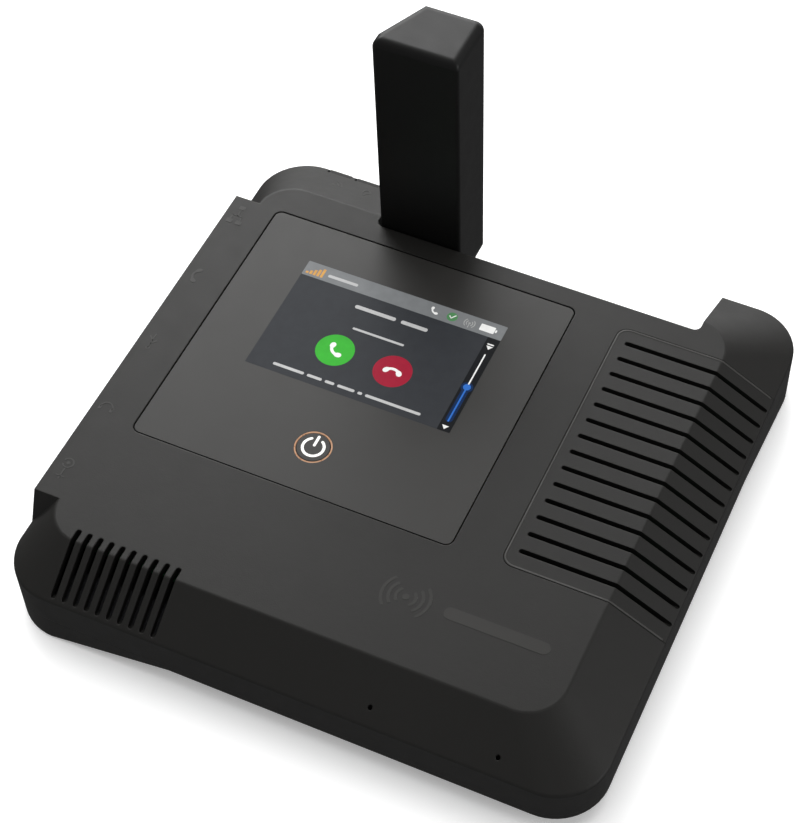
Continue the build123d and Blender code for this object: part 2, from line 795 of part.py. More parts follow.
def rear_cover(x, name):
    """A small flap in the rear edge over one radio socket, opening to the rear."""
    with BuildPart() as cover:
        cover_x = around(x, rear_cover_width)
        cover_top_z = rear_cover_z + rear_cover_height
        block(cover_x, (rear_y - cover_thickness, rear_y), (rear_cover_axis_z, cover_top_z))
        rod_x(cover_thickness, trunnion_y, rear_cover_axis_z, cover_x)
        trunnions_x = around(x, rear_cover_width + 2 * (cover_clearance + rear_trunnion_reach))
        rod_x(trunnion_d, trunnion_y, rear_cover_axis_z, trunnions_x)
    save(cover, name)


rear_cover(rear_cover_x[0], "satellite_socket_cover")
rear_cover(rear_cover_x[1], "gnss_socket_cover")

# ---- sockets -------------------------------------------------------------------------------------------


def box_socket(y, body, opening, name):
    """A rectangular socket on the main board, open to the left."""
    front_x = port_face_x + gap
    with BuildPart() as socket:
        block((front_x, front_x + body[2]), around(y, body[0]), (board_top_z, port_z + body[1] / 2))
        cavity_x = (front_x, front_x + body[2] - socket_back)
        cavity_y = around(y, opening[0] - 2 * socket_lip)
        cavity_z = around(port_z, opening[1] - 2 * socket_lip)
        block(cavity_x, cavity_y, cavity_z, Mode.SUBTRACT)
    save(socket, name)


def round_socket(y, body, bore_d, pin_d, name):
    """A round socket on the main board, open to the left, with a centre pin where it has one."""
    front_x = port_face_x + gap
    with BuildPart() as socket:
        block((front_x, front_x + body[2]), around(y, body[0]), (board_top_z, port_z + body[1] / 2))
        rod_x(bore_d, y, port_z, (front_x, front_x + body[2] - socket_back), Mode.SUBTRACT)
        if pin_d:
            rod_x(pin_d, y, port_z, (front_x + power_pin_recess, front_x + body[2]))
    save(socket, name)


box_socket(network_y, network_body, network_opening, "network_socket")
box_socket(phone_y, phone_body, phone_opening, "phone_socket")
box_socket(usb_y, usb_body, usb_opening, "usb_socket")
round_socket(audio_y, audio_body, audio_bore_d, 0, "audio_socket")
round_socket(power_y, power_body, power_bore_d, power_pin_d, "power_inlet")


def radio_socket(x, name):
    """A threaded coaxial jack through the rear wall with its nut inside."""
    jack_y = (rear_y - recess_depth - rf_jack_length, rear_y - recess_depth)
    with BuildPart() as jack:
        rod_y(rf_jack_d, x, rear_port_z, jack_y)
        with BuildSketch(Plane.XZ.offset(-port_face_y)):
            with Locations((x, rear_port_z)):
                RegularPolygon(rf_nut_flats / 2, 6, major_radius=False)
        extrude(amount=rf_nut_height)
        rod_y(rf_jack_bore, x, rear_port_z, (jack_y[1] - rf_bore_depth, jack_y[1]), Mode.SUBTRACT)
    save(jack, name)


radio_socket(rear_cover_x[0], "satellite_radio_socket")
radio_socket(rear_cover_x[1], "gnss_radio_socket")

# ---- boards and what stands on them --------------------------------------------------------------------
with BuildPart() as main_board:
    block(board_x, (board_front_y, board_rear_y), (board_z, board_top_z))
    block((board_x[0], board_wing_x), (board_rear_y, board_wing_y), (board_z, board_top_z))
    for x, y in screw_points:
        rod(post_d + 2 * board_hole_gap, x, y, (board_z, board_top_z), Mode.SUBTRACT)
    rod_y(shaft_d + 2 * part_gap, hinge_x, hinge_z, (coax_plug_y, board_rear_y), Mode.SUBTRACT)
save(main_board, "main_board")

with BuildPart() as satellite_modem:
    plate(modem_x, modem_y, (board_top_z, board_top_z + modem_height), modem_radius)
save(satellite_modem, "satellite_modem")

shield_x = (modem_x[0] - shield_gap, modem_x[1] + shield_gap)
shield_y = (modem_y[0] - shield_gap, modem_y[1] + shield_gap)
shield_roof_z = board_top_z + modem_height + shield_gap
with BuildPart() as modem_shield:
    block(
        (shield_x[0] - shield_wall, shield_x[1] + shield_wall),
        (shield_y[0] - shield_wall, shield_y[1] + shield_wall),
        (board_top_z, shield_roof_z + shield_wall),
    )
    block(shield_x, shield_y, (board_top_z, shield_roof_z), Mode.SUBTRACT)
save(modem_shield, "modem_shield")


def board_chip(centre, size, name, foot_z=board_top_z):
    """A plain component that stands on the main board or on another one."""
    with BuildPart() as chip:
        block(around(centre[0], size[0]), around(centre[1], size[1]), (foot_z, foot_z + size[2]))
    save(chip, name)


board_chip(processor_centre, processor_size, "processor")
pad_z = board_top_z + processor_size[2]
board_chip(processor_centre, (processor_size[0], processor_size[1], pad_thickness), "thermal_pad", pad_z)
board_chip(gnss_centre, gnss_size, "gnss_patch_antenna")
board_chip(sim_centre, sim_size, "sim_holder")

sink_z = pad_z + pad_thickness
with BuildPart() as heat_sink:
    block(sink_x, sink_y, (sink_z, sink_z + sink_base))
    for y in slots_y:
        fin_y = around(y + slot_pitch / 2, sink_fin)
        if fin_y[1] <= sink_y[1]:
            block(sink_x, fin_y, (sink_z + sink_base, ceiling_z))
save(heat_sink, "heat_sink")

speaker_y = front_y + wall + speaker_offset + speaker_size[1] / 2
speaker_z = (base_z, base_z + speaker_size[2])
with BuildPart() as speaker_driver:
    plate(around(speaker_x, speaker_size[0]), around(speaker_y, speaker_size[1]), speaker_z, speaker_radius)
    plate(
        around(speaker_x, speaker_size[0] - 2 * speaker_rim[0]),
        around(speaker_y, speaker_size[1] - 2 * speaker_rim[1]),
        (speaker_z[1] - speaker_dish[0], speaker_z[1]),
        speaker_dish[1],
        Mode.SUBTRACT,
    )
save(speaker_driver, "speaker_driver")

with BuildPart() as speaker_cloth:
    plate(
        around(speaker_x, speaker_size[0]),
        around(speaker_y, speaker_size[1]),
        (speaker_z[1], speaker_z[1] + speaker_cloth_thickness),
        speaker_radius,
    )
save(speaker_cloth, "speaker_cloth")

with BuildPart() as microphone_boots:
    boot_top_z = inner_rim_z + (mic_y - mic_boot_d / 2 - front_y - wall) * slope - gap
    boot_foot_z = boot_top_z - mic_boot_height
    for x in mic_x:
        rod(mic_boot_d, x, mic_y, (boot_foot_z, boot_top_z))
        rod(mic_hole_d, x, mic_y, (boot_foot_z + mic_boot_floor, boot_top_z), Mode.SUBTRACT)
save(microphone_boots, "microphone_boots")

with BuildPart() as wifi_antennas:
    wifi_z = (split_z + wifi_lift, split_z + wifi_lift + wifi_size[2])
    block(around(wifi_x, wifi_size[0]), (front_y + wall, front_y + wall + wifi_size[1]), wifi_z)
    block((right_x - wall - wifi_size[1], right_x - wall), around(wifi_side_y, wifi_size[0]), wifi_z)
save(wifi_antennas, "wifi_antennas")

# ---- antenna outline -----------------------------------------------------------------------------------
end_radius = antenna_width / 2


def antenna_section(inset, back_inset):
    """The antenna's section: a rectangle with a bevel that carries on the rear shoulder."""
    x = (antenna_left_x + inset, antenna_right_x - inset)
    y = (antenna_front_y + inset, antenna_rear_y - back_inset)
    run = antenna_rear_y - antenna_bevel_y
    bevel = antenna_bevel * (y[1] - antenna_bevel_y) / run
    with BuildLine() as outline:
        back = ((x[1], y[1]), (x[0] + bevel, y[1]), (x[0], antenna_bevel_y))
        Polyline((x[0], y[0]), (x[1], y[0]), *back, close=True)
    make_face(outline.edges())


def antenna_side(radius, top_z):
    """The antenna seen from the front: straight above the hinge, round below it."""
    with Locations((hinge_x, hinge_z)):
        Circle(radius)
    with Locations((hinge_x, (hinge_z + top_z) / 2)):
        Rectangle(2 * radius, top_z - hinge_z)


inner_top_z = antenna_top_z - antenna_wall
with BuildPart() as antenna_hollow:
    with BuildSketch(Plane.XY.offset(hinge_z - end_radius)):
        antenna_section(antenna_wall, antenna_back_wall)
    extrude(amount=inner_top_z - hinge_z + end_radius)
    with BuildSketch(Plane.XZ.offset(-antenna_rear_y)):
        antenna_side(end_radius - antenna_wall, inner_top_z)
    extrude(amount=antenna_rear_y - antenna_front_y, mode=Mode.INTERSECT)

# ---- antenna hinge -------------------------------------------------------------------------------------
block_y = (antenna_front_y + antenna_wall, antenna_front_y + antenna_wall + hinge_block_length)
washer_y = (block_y[1] + 2 * running_gap, block_y[1] + 2 * running_gap + spring_washer_height)
nut_y = (washer_y[1] + 2 * running_gap, washer_y[1] + 2 * running_gap + nut_height)

with BuildPart() as hinge_shaft:
    rod_y(shaft_d, hinge_x, hinge_z, (shaft_front_y, nut_y[1]))
    rod_y(shaft_bore, hinge_x, hinge_z, (shaft_front_y, nut_y[1]), Mode.SUBTRACT)
save(hinge_shaft, "hinge_shaft")

with BuildPart() as hinge_nuts:
    for y in (bay_front_y - boss_length, nut_y[1]):
        with BuildSketch(Plane.XZ.offset(-y)) as hexagon:
            with Locations((hinge_x, hinge_z)):
                RegularPolygon(nut_flats / 2, 6, major_radius=False)
                Circle(shaft_d / 2 + running_gap, mode=Mode.SUBTRACT)
        extrude(hexagon.sketch, amount=nut_height)
save(hinge_nuts, "hinge_nuts")

with BuildPart() as hinge_thrust_washer:
    thrust_y = (bay_front_y + running_gap, antenna_front_y - running_gap)
    rod_y(thrust_washer_d, hinge_x, hinge_z, thrust_y)
    rod_y(shaft_d + 4 * running_gap, hinge_x, hinge_z, thrust_y, Mode.SUBTRACT)
save(hinge_thrust_washer, "hinge_thrust_washer")

with BuildPart() as hinge_spring_washer:
    rod_y(spring_washer_d, hinge_x, hinge_z, washer_y)
    rod_y(shaft_d + 4 * running_gap, hinge_x, hinge_z, washer_y, Mode.SUBTRACT)
save(hinge_spring_washer, "hinge_spring_washer")

with BuildPart() as hinge_bushes:
    for y in ((block_y[0], block_y[0] + bush_length), (block_y[1] - bush_length, block_y[1])):
        rod_y(bush_d, hinge_x, hinge_z, y)
        rod_y(shaft_d + 2 * running_gap, hinge_x, hinge_z, y, Mode.SUBTRACT)
save(hinge_bushes, "hinge_bushes")

antenna_mid_y = (antenna_front_y + antenna_wall + antenna_rear_y - antenna_back_wall) / 2
post_top_z = hinge_z + hinge_block_d / 2 + antenna_post_height
with BuildPart() as hinge_block:
    rod_y(hinge_block_d, hinge_x, hinge_z, block_y)
    block(
        around(hinge_x, antenna_post_size[0]),
        (block_y[0], block_y[0] + antenna_post_size[1]),
        (hinge_z, post_top_z),
    )
    add(antenna_hollow.part, mode=Mode.INTERSECT)
    rod_y(bush_d + 2 * running_gap, hinge_x, hinge_z, block_y, Mode.SUBTRACT)
save(hinge_block, "hinge_block")

with BuildPart() as antenna_coax:
    rod_y(coax_d, hinge_x, hinge_z, (coax_plug_y, nut_y[1]))
save(antenna_coax, "antenna_coax")

with BuildPart() as coax_plug:
    block(
        around(hinge_x, coax_plug_size[0]),
        (coax_plug_y - coax_plug_size[1], coax_plug_y),
        (board_top_z, hinge_z + coax_d),
    )
save(coax_plug, "coax_plug")

# ---- antenna -------------------------------------------------------------------------------------------
back_window_x = (antenna_left_x + antenna_bevel + back_window_margin, antenna_right_x - back_window_right)
back_window_z = (hinge_z - end_radius / 2, antenna_top_z - back_window_top)
back_y = (antenna_rear_y - antenna_back_wall, antenna_rear_y)

with BuildPart() as antenna_shell:
    with BuildSketch(Plane.XY.offset(hinge_z - end_radius)):
        antenna_section(0, 0)
    extrude(amount=antenna_top_z - hinge_z + end_radius)
    back_edges = edges_at(antenna_shell, Axis.Y, antenna_rear_y).filter_by(Axis.Z)
    fillet(back_edges.sort_by(Axis.X)[-1:], antenna_back_edge)
    fillet(edges_at(antenna_shell, Axis.Y, antenna_front_y).filter_by(Axis.Z), antenna_edge)
    fillet(antenna_shell.faces().sort_by(Axis.Z)[-1].edges(), antenna_tip_edge)
    with BuildSketch(Plane.XZ.offset(-antenna_rear_y)):
        antenna_side(end_radius, antenna_top_z)
    extrude(amount=antenna_rear_y - antenna_front_y, mode=Mode.INTERSECT)
    add(antenna_hollow.part, mode=Mode.SUBTRACT)
    block(back_window_x, back_y, back_window_z, Mode.SUBTRACT)
    front_wall_y = (antenna_front_y, antenna_front_y + antenna_wall)
    rod_y(shaft_d + 2 * part_gap, hinge_x, hinge_z, front_wall_y, Mode.SUBTRACT)
save(antenna_shell, "antenna_shell")

with BuildPart() as antenna_back_cover:
    block(
        (back_window_x[0] + gap, back_window_x[1] - gap),
        back_y,
        (back_window_z[0] + gap, back_window_z[1] - gap),
    )
save(antenna_back_cover, "antenna_back_cover")

board_centre_x = antenna_right_x - antenna_wall - gap - antenna_board_size[0] / 2
with BuildPart() as antenna_board:
    block(
        around(board_centre_x, antenna_board_size[0]),
        around(antenna_mid_y, antenna_board_size[1]),
        (post_top_z, post_top_z + antenna_board_size[2]),
    )
save(antenna_board, "antenna_board")

helix_z = post_top_z + antenna_board_size[2]
with BuildPart() as helix_core:
    core_z = (helix_z, helix_z + helix_height)
    rod(helix_core_d, hinge_x, antenna_mid_y, core_z)
    rod(helix_core_d - 2 * helix_core_wall, hinge_x, antenna_mid_y, core_z, Mode.SUBTRACT)
save(helix_core, "helix_core")

helix_radius = helix_core_d / 2 + helix_wire_d / 2 + running_gap
with BuildPart() as helix_wire:
    with BuildLine(Plane((hinge_x, antenna_mid_y, helix_z + helix_wire_d))) as track:
        Helix(helix_height / helix_turns, helix_height - 2 * helix_wire_d, helix_radius)
    with BuildSketch(Plane(origin=track.line @ 0, z_dir=track.line % 0)):
        Circle(helix_wire_d / 2)
    sweep(path=track.line)

antenna_middle = Axis((hinge_x, antenna_mid_y, 0), (0, 0, 1))
with BuildPart() as helix_wires:
    for arm in range(helix_arms):
        add(helix_wire.part.rotate(antenna_middle, 360 * arm / helix_arms))
save(helix_wires, "helix_wires")
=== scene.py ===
import math

import bmesh
import bpy
from bpy.props import FloatProperty, FloatVectorProperty, PointerProperty
from mathutils import Matrix, Vector


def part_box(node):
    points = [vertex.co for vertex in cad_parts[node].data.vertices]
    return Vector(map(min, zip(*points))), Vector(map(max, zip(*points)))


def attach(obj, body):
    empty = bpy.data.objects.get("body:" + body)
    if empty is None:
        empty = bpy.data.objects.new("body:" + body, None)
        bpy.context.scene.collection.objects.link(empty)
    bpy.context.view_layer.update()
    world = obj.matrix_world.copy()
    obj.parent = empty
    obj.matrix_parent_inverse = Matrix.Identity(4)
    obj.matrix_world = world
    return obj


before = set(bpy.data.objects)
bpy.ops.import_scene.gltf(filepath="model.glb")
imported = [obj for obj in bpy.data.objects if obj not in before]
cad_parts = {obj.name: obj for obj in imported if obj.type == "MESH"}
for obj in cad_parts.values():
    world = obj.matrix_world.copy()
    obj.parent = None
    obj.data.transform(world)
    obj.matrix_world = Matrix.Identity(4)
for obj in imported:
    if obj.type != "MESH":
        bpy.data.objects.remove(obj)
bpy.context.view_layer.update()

bl_info = {
    "name": "Desk-top satellite phone",
    "version": (1, 0, 0),
    "blender": (4, 5, 0),
    "location": "3D View > Sidebar > Satellite phone",
    "description": "Finishes, screen, symbols and studio for a desk-top satellite phone",
    "category": "Object",
}

MM = 0.001
BASE = "base"
BUTTON_BODY = "power_button"

PANEL_LOW, PANEL_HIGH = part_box("front_panel")
BUTTON_LOW, BUTTON_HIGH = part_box("power_button")
GRILLE_LOW, GRILLE_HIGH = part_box("vent_grille")
HOUSING_LOW, HOUSING_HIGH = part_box("upper_housing")
PLATEAU_Z = HOUSING_HIGH.z
SHOULDER_DROP = 0.0114  # from the plateau to the rim
RIGHT_SHOULDER_RUN = 0.0195
REAR_SHOULDER_RUN = 0.0224
ARC_STEPS = 40
BEAD_STEPS = 40
ROOT = 0.0002  # how deep a raised figure is let into its surface
BEAD_ROOT = 0.0004
MARK_INSET = 0.0048  # the port marks' middles from the housing's left side
REAR_MARK_SHIFT = (0.0035, -0.0095)  # from the middle of a rear cover's outer face

CASE_GRAIN = 2600.0  # grains to a metre
SATIN_GRAIN = 3000.0
FILM_GRAIN = 4200.0
FINE_GRAIN = 5000.0
SHALLOW = 1e-5  # depth of a fine grain
CRISP_EDGE = 0.0002  # radius that the light sees along an edge
WORN_EDGE = 0.0003
ROUND_EDGE = 0.0005
SOFT_EDGE = 0.0008
TOOL_MARKS = (40.0, 40.0, 900.0)  # how much finer the marks are along each axis

GROUND, FIELD, FIGURE, ACCENT = 1, 2, 3, 4  # the screen's layers, from the panel up
HALO_TOP = 3.3
KNOB_TOP = 4.5
SCREEN_ROUGHNESS = 0.42
SCREEN_CORNER = 0.3  # millimetres

BOARD_GREEN = (0.012, 0.11, 0.04)
SOCKET_BLACK = (0.015, 0.015, 0.015)
RUBBER_BLACK = (0.02, 0.02, 0.02)


# ---- outlines ------------------------------------------------------------------------------------------
def arc_points(centre, radius, start, end, steps=ARC_STEPS):
    """Points along an arc, angles in degrees."""
    points = []
    for step in range(steps + 1):
        angle = math.radians(start + (end - start) * step / steps)
        points.append((centre[0] + radius * math.cos(angle), centre[1] + radius * math.sin(angle)))
    return points


def disc(centre, radius):
    """A round outline."""
    return arc_points(centre, radius, 0, 360)[:-1]


def rounded_box(low, high, radius, steps=8):
    """A rectangle's outline with round corners."""
    outline = []
    corners = (
        (high[0] - radius, high[1] - radius, 0),
        (low[0] + radius, high[1] - radius, 90),
        (low[0] + radius, low[1] + radius, 180),
        (high[0] - radius, low[1] + radius, 270),
    )
    for x, y, start in corners:
        outline += arc_points((x, y), radius, start, start + 90, steps)
    return outline


def stroke(points, width, end_width=None, steps=8):
    """The outline of a line drawn with a round pen, which may grow wider towards both ends."""
    count = len(points)
    left, right = [], []
    for index, point in enumerate(points):
        before = Vector(points[max(index - 1, 0)])
        after = Vector(points[min(index + 1, count - 1)])
        along = (after - before).normalized()
        across = Vector((-along.y, along.x))
        half = width / 2
        if end_width is not None:
            share = abs(2 * index / (count - 1) - 1)
            half += (end_width - width) / 2 * smooth_step((share - 0.45) / 0.35)
        left.append(Vector(point) + across * half)
        right.append(Vector(point) - across * half)
    cap_radius = (left[-1] - right[-1]).length / 2
    heading = math.degrees(math.atan2(*(right[-1] - left[-1]).yx))
    end_cap = arc_points(points[-1], cap_radius, heading + 180, heading, steps)[1:-1]
    heading = math.degrees(math.atan2(*(left[0] - right[0]).yx))
    start_cap = arc_points(points[0], cap_radius, heading + 180, heading, steps)[1:-1]
    return [tuple(p) for p in left] + end_cap + [tuple(p) for p in reversed(right)] + start_cap


def smooth_step(value):
    """Nought to one with soft ends."""
    value = min(max(value, 0.0), 1.0)
    return value * value * (3 - 2 * value)


def turned(outline, centre, angle):
    """An outline turned about a point by degrees."""
    turn = Matrix.Rotation(math.radians(angle), 2)
    return [tuple(turn @ (Vector(p) - Vector(centre)) + Vector(centre)) for p in outline]


def shifted(outline, offset):
    """An outline moved across the plan."""
    return [(x + offset[0], y + offset[1]) for x, y in outline]


# ---- meshes --------------------------------------------------------------------------------------------
def level(height):
    """A flat surface at one height."""
    return lambda x, y: height


def rear_shoulder(x, y):
    """The height of the rear shoulder above a point in the plan."""
    crest = HOUSING_HIGH.y - REAR_SHOULDER_RUN
    return PLATEAU_Z - max(0.0, y - crest) * SHOULDER_DROP / REAR_SHOULDER_RUN


def right_shoulder(x, y):
    """The height of the right shoulder above a point in the plan."""
    crest = HOUSING_HIGH.x - RIGHT_SHOULDER_RUN
    return PLATEAU_Z - max(0.0, x - crest) * SHOULDER_DROP / RIGHT_SHOULDER_RUN


def add_piece(name, mesh_data, finish, body):
    """Link a new piece, finish it and let it ride on a body."""
    piece = bpy.data.objects.new(name, mesh_data)
    bpy.context.scene.collection.objects.link(piece)
    mesh_data.materials.append(finish)
    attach(piece, body)
    return piece


def raised_outlines(name, outlines, surface, height, root, finish, body=BASE):
    """Flat-topped figures that stand on a surface, each sunk a little into it."""
    mesh = bmesh.new()
    for outline in outlines:
        top = [mesh.verts.new((x, y, surface(x, y) + height)) for x, y in outline]
        foot = [mesh.verts.new((x, y, surface(x, y) - root)) for x, y in outline]
        mesh.faces.new(top)
        mesh.faces.new(list(reversed(foot)))
        for index in range(len(outline)):
            after = (index + 1) % len(outline)
            mesh.faces.new((foot[index], foot[after], top[after], top[index]))
    bmesh.ops.recalc_face_normals(mesh, faces=mesh.faces)
    bmesh.ops.triangulate(mesh, faces=mesh.faces)
    data = bpy.data.meshes.new(name)
    mesh.to_mesh(data)
    mesh.free()
    return add_piece(name, data, finish, body)


def bead(name, path, surface, width, height, root, finish, slot, body=BASE):
    """A low half-round bead that follows a path over a surface."""
    profile_steps = 6
    mesh = bmesh.new()
    rows = []
    for index, (x, y) in enumerate(path):
        before = Vector(path[max(index - 1, 0)])
        after = Vector(path[min(index + 1, len(path) - 1)])
        along = (after - before).normalized()
        across = Vector((-along.y, along.x)) * width / 2
        row = [mesh.verts.new((x + across.x, y + across.y, surface(x, y) - root))]
        for step in range(profile_steps + 1):
            angle = math.pi * step / profile_steps
            reach = math.cos(angle)
            lift = height * math.sin(angle)
            row.append(mesh.verts.new((x + across.x * reach, y + across.y * reach, surface(x, y) + lift)))
        row.append(mesh.verts.new((x - across.x, y - across.y, surface(x, y) - root)))
        rows.append(row)
    for one, other in zip(rows, rows[1:]):
        count = len(one)
        for index in range(count):
            after = (index + 1) % count
            mesh.faces.new((one[index], one[after], other[after], other[index]))
    mesh.faces.new(rows[0])
    mesh.faces.new(list(reversed(rows[-1])))
    bmesh.ops.recalc_face_normals(mesh, faces=mesh.faces)
    data = bpy.data.meshes.new(name)
    mesh.to_mesh(data)
    mesh.free()
    for face in data.polygons:
        face.use_smooth = len(face.vertices) == 4
    return add_piece(name, data, finish, body)


# ---- finishes ------------------------------------------------------------------------------------------
class Finish:
    """A node material with one glossy surface and the object's own coordinates."""

    def __init__(self, name):
        self.material = bpy.data.materials.new(name)
        self.material.use_nodes = True
        self.tree = self.material.node_tree
        self.tree.nodes.clear()
        self.output = self.tree.nodes.new("ShaderNodeOutputMaterial")
        self.surface = self.tree.nodes.new("ShaderNodeBsdfPrincipled")
        self.tree.links.new(self.surface.outputs["BSDF"], self.output.inputs["Surface"])
        self.place = self.tree.nodes.new("ShaderNodeTexCoord").outputs["Object"]

    def set(self, **values):
        """Fixed values on the surface's own sockets."""
        for socket, value in values.items():
            self.surface.inputs[socket.replace("_", " ")].default_value = value
        return self

    def noise(self, scale, detail=3.0, roughness=0.55, stretch=None):
        """Noise through the object, with cells of one over scale metres."""
        node = self.tree.nodes.new("ShaderNodeTexNoise")
        node.inputs["Scale"].default_value = scale
        node.inputs["Detail"].default_value = detail
        node.inputs["Roughness"].default_value = roughness
        place = self.place
        if stretch is not None:
            mapping = self.tree.nodes.new("ShaderNodeMapping")
            mapping.inputs["Scale"].default_value = stretch
            self.tree.links.new(place, mapping.inputs["Vector"])
            place = mapping.outputs["Vector"]
        self.tree.links.new(place, node.inputs["Vector"])
        return node.outputs["Fac"]

    def cells(self, scale):
        """Distance to the nearest of many scattered points."""
        node = self.tree.nodes.new("ShaderNodeTexVoronoi")
        node.inputs["Scale"].default_value = scale
        self.tree.links.new(self.place, node.inputs["Vector"])
        return node.outputs["Distance"]

    def between(self, factor, low, high, start=0.3, end=0.7):
        """A number that runs between two values as a factor rises."""
        node = self.tree.nodes.new("ShaderNodeMapRange")
        node.inputs["From Min"].default_value = start
        node.inputs["From Max"].default_value = end
        node.inputs["To Min"].default_value = low
        node.inputs["To Max"].default_value = high
        self.tree.links.new(factor, node.inputs["Value"])
        return node.outputs["Result"]

    def blend(self, factor, dark, light):
        """A colour that runs between two colours."""
        node = self.tree.nodes.new("ShaderNodeMix")
        node.data_type = "RGBA"
        node.inputs["A"].default_value = (*dark, 1.0)
        node.inputs["B"].default_value = (*light, 1.0)
        self.tree.links.new(factor, node.inputs["Factor"])
        return node.outputs["Result"]

    def feed(self, output, socket):
        """Lead a changing value to the surface."""
        self.tree.links.new(output, self.surface.inputs[socket])
        return self

    def relief(self, heights, soften=0.0):
        """Layered bumps, each a height and its depth in metres, over edges softened by a radius."""
        normal = None
        if soften:
            edge = self.tree.nodes.new("ShaderNodeBevel")
            edge.samples = 6
            edge.inputs["Radius"].default_value = soften
            normal = edge.outputs["Normal"]
        for height, depth in heights:
            bump = self.tree.nodes.new("ShaderNodeBump")
            bump.inputs["Strength"].default_value = 1.0
            bump.inputs["Distance"].default_value = depth
            self.tree.links.new(height, bump.inputs["Height"])
            if normal is not None:
                self.tree.links.new(normal, bump.inputs["Normal"])
            normal = bump.outputs["Normal"]
        return self.feed(normal, "Normal")


def shaded(colour, share):
    """A colour made lighter or darker by a share."""
    return tuple(channel * (1 + share) for channel in colour)


def moulded_plastic(name, colour, roughness, grain, depth, soften=0.0, tone=0.035):
    """Spark-textured plastic with faint cloudy tone and rubbed patches."""
    finish = Finish(name)
    cloud = finish.noise(22.0, 4.0)
    rub = finish.noise(140.0, 5.0, 0.65)
    cloudy = finish.blend(finish.between(cloud, 0.0, 1.0), shaded(colour, -tone), shaded(colour, tone))
    finish.feed(cloudy, "Base Color")
    finish.feed(finish.between(rub, roughness - 0.025, roughness + 0.03), "Roughness")
    fine, coarse = finish.noise(grain, 2.0, 0.5), finish.noise(grain / 6, 2.0, 0.5)
    finish.relief(((fine, depth), (coarse, depth * 0.8)), soften)
    return finish.material


def lit_print(name, colour, glow, roughness=0.4):
    """A figure shown by the display, lit a little from behind, with the display's fine unevenness."""
    finish = Finish(name)
    haze = finish.between(finish.noise(300.0, 2.0), 0.0, 1.0)
    fine = finish.between(finish.noise(6000.0, 1.0), roughness - 0.04, roughness + 0.04)
    finish.feed(finish.blend(haze, shaded(colour, -0.06), shaded(colour, 0.06)), "Base Color")
    finish.feed(finish.blend(haze, shaded(colour, -0.04), shaded(colour, 0.04)), "Emission Color")
    finish.feed(fine, "Roughness")
    finish.relief(((finish.noise(FINE_GRAIN, 1.0), 2e-6),))
    finish.set(Emission_Strength=glow, Specular_IOR_Level=0.12)
    return finish.material


def turned_metal(name, colour, roughness):
    """Bright metal with fine tool marks."""
    finish = Finish(name)
    marks = finish.noise(60.0, 4.0, 0.6, TOOL_MARKS)
    spots = finish.noise(400.0, 3.0)
    spotted = finish.blend(finish.between(spots, 0.0, 1.0), shaded(colour, -0.10), shaded(colour, 0.05))
    finish.feed(spotted, "Base Color")
    finish.feed(finish.between(marks, roughness - 0.08, roughness + 0.12), "Roughness")
    finish.relief(((marks, 6e-6),), 0.00015)
    finish.set(Metallic=1.0)
    return finish.material


def solder_resist(name, colour):
    """Circuit board with tracks under its lacquer."""
    finish = Finish(name)
    tracks = finish.tree.nodes.new("ShaderNodeTexBrick")
    tracks.inputs["Scale"].default_value = 240.0
    tracks.inputs["Mortar Size"].default_value = 0.03
    tracks.inputs["Color1"].default_value = (*colour, 1.0)
    tracks.inputs["Color2"].default_value = (*shaded(colour, -0.15), 1.0)
    tracks.inputs["Mortar"].default_value = (*shaded(colour, 0.9), 1.0)
    finish.tree.links.new(finish.place, tracks.inputs["Vector"])
    finish.feed(tracks.outputs["Color"], "Base Color")
    finish.feed(finish.between(finish.noise(500.0), 0.3, 0.45), "Roughness")
    finish.relief(((tracks.outputs["Fac"], 1.5e-5),))
    return finish.material


def woven_cloth(name, colour):
    """Fine acoustic cloth and foam."""
    finish = Finish(name)
    weave = finish.cells(2200.0)
    threads = finish.blend(finish.between(weave, 0.0, 1.0), shaded(colour, -0.3), shaded(colour, 0.3))
    finish.feed(threads, "Base Color")
    finish.feed(finish.between(weave, 0.85, 0.97), "Roughness")
    finish.relief(((weave, 8e-5),))
    finish.set(Sheen_Weight=0.2)
    return finish.material


def soft_rubber(name, colour):
    """Dull rubber with a dusty bloom."""
    finish = Finish(name)
    bloom = finish.noise(90.0, 5.0, 0.6)
    finish.feed(finish.blend(finish.between(bloom, 0.0, 1.0), colour, shaded(colour, 0.5)), "Base Color")
    finish.feed(finish.between(bloom, 0.72, 0.88), "Roughness")
    finish.relief(((finish.noise(1500.0, 3.0), 3e-5),), 0.0003)
    return finish.material


def light_guide(name, colour, glow):
    """Translucent amber plastic lit from below."""
    finish = Finish(name)
    depth = finish.noise(700.0, 2.0)
    cloud = finish.between(depth, 0.0, 1.0)
    finish.feed(finish.blend(cloud, shaded(colour, -0.15), shaded(colour, 0.1)), "Base Color")
    finish.feed(finish.blend(cloud, shaded(colour, -0.1), shaded(colour, 0.1)), "Emission Color")
    finish.feed(finish.between(depth, 0.25, 0.38), "Roughness")
    finish.relief(((depth, 1e-5),))
    finish.set(Emission_Strength=glow, Transmission_Weight=0.2)
    return finish.material


def dress(nodes, material):
    """Give CAD nodes a finish through their own material slots."""
    for name in nodes:
        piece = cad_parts[name]
        if not piece.material_slots:
            raise RuntimeError(f"{name} has no material slot")
        for slot in piece.material_slots:
            slot.material = material


def colour_property(name, description, default):
    """A colour that a user may change."""
    return FloatVectorProperty(
        name=name, description=description, default=default, size=3, min=0.0, max=1.0, subtype="COLOR"
    )


def number_property(name, description, default):
    """A plain number that a user may change."""
    return FloatProperty(name=name, description=description, default=default, precision=4)


def length_property(name, description, default):
    """A length that a user may change, in metres."""
    return FloatProperty(name=name, description=description, default=default, unit="LENGTH", precision=5)


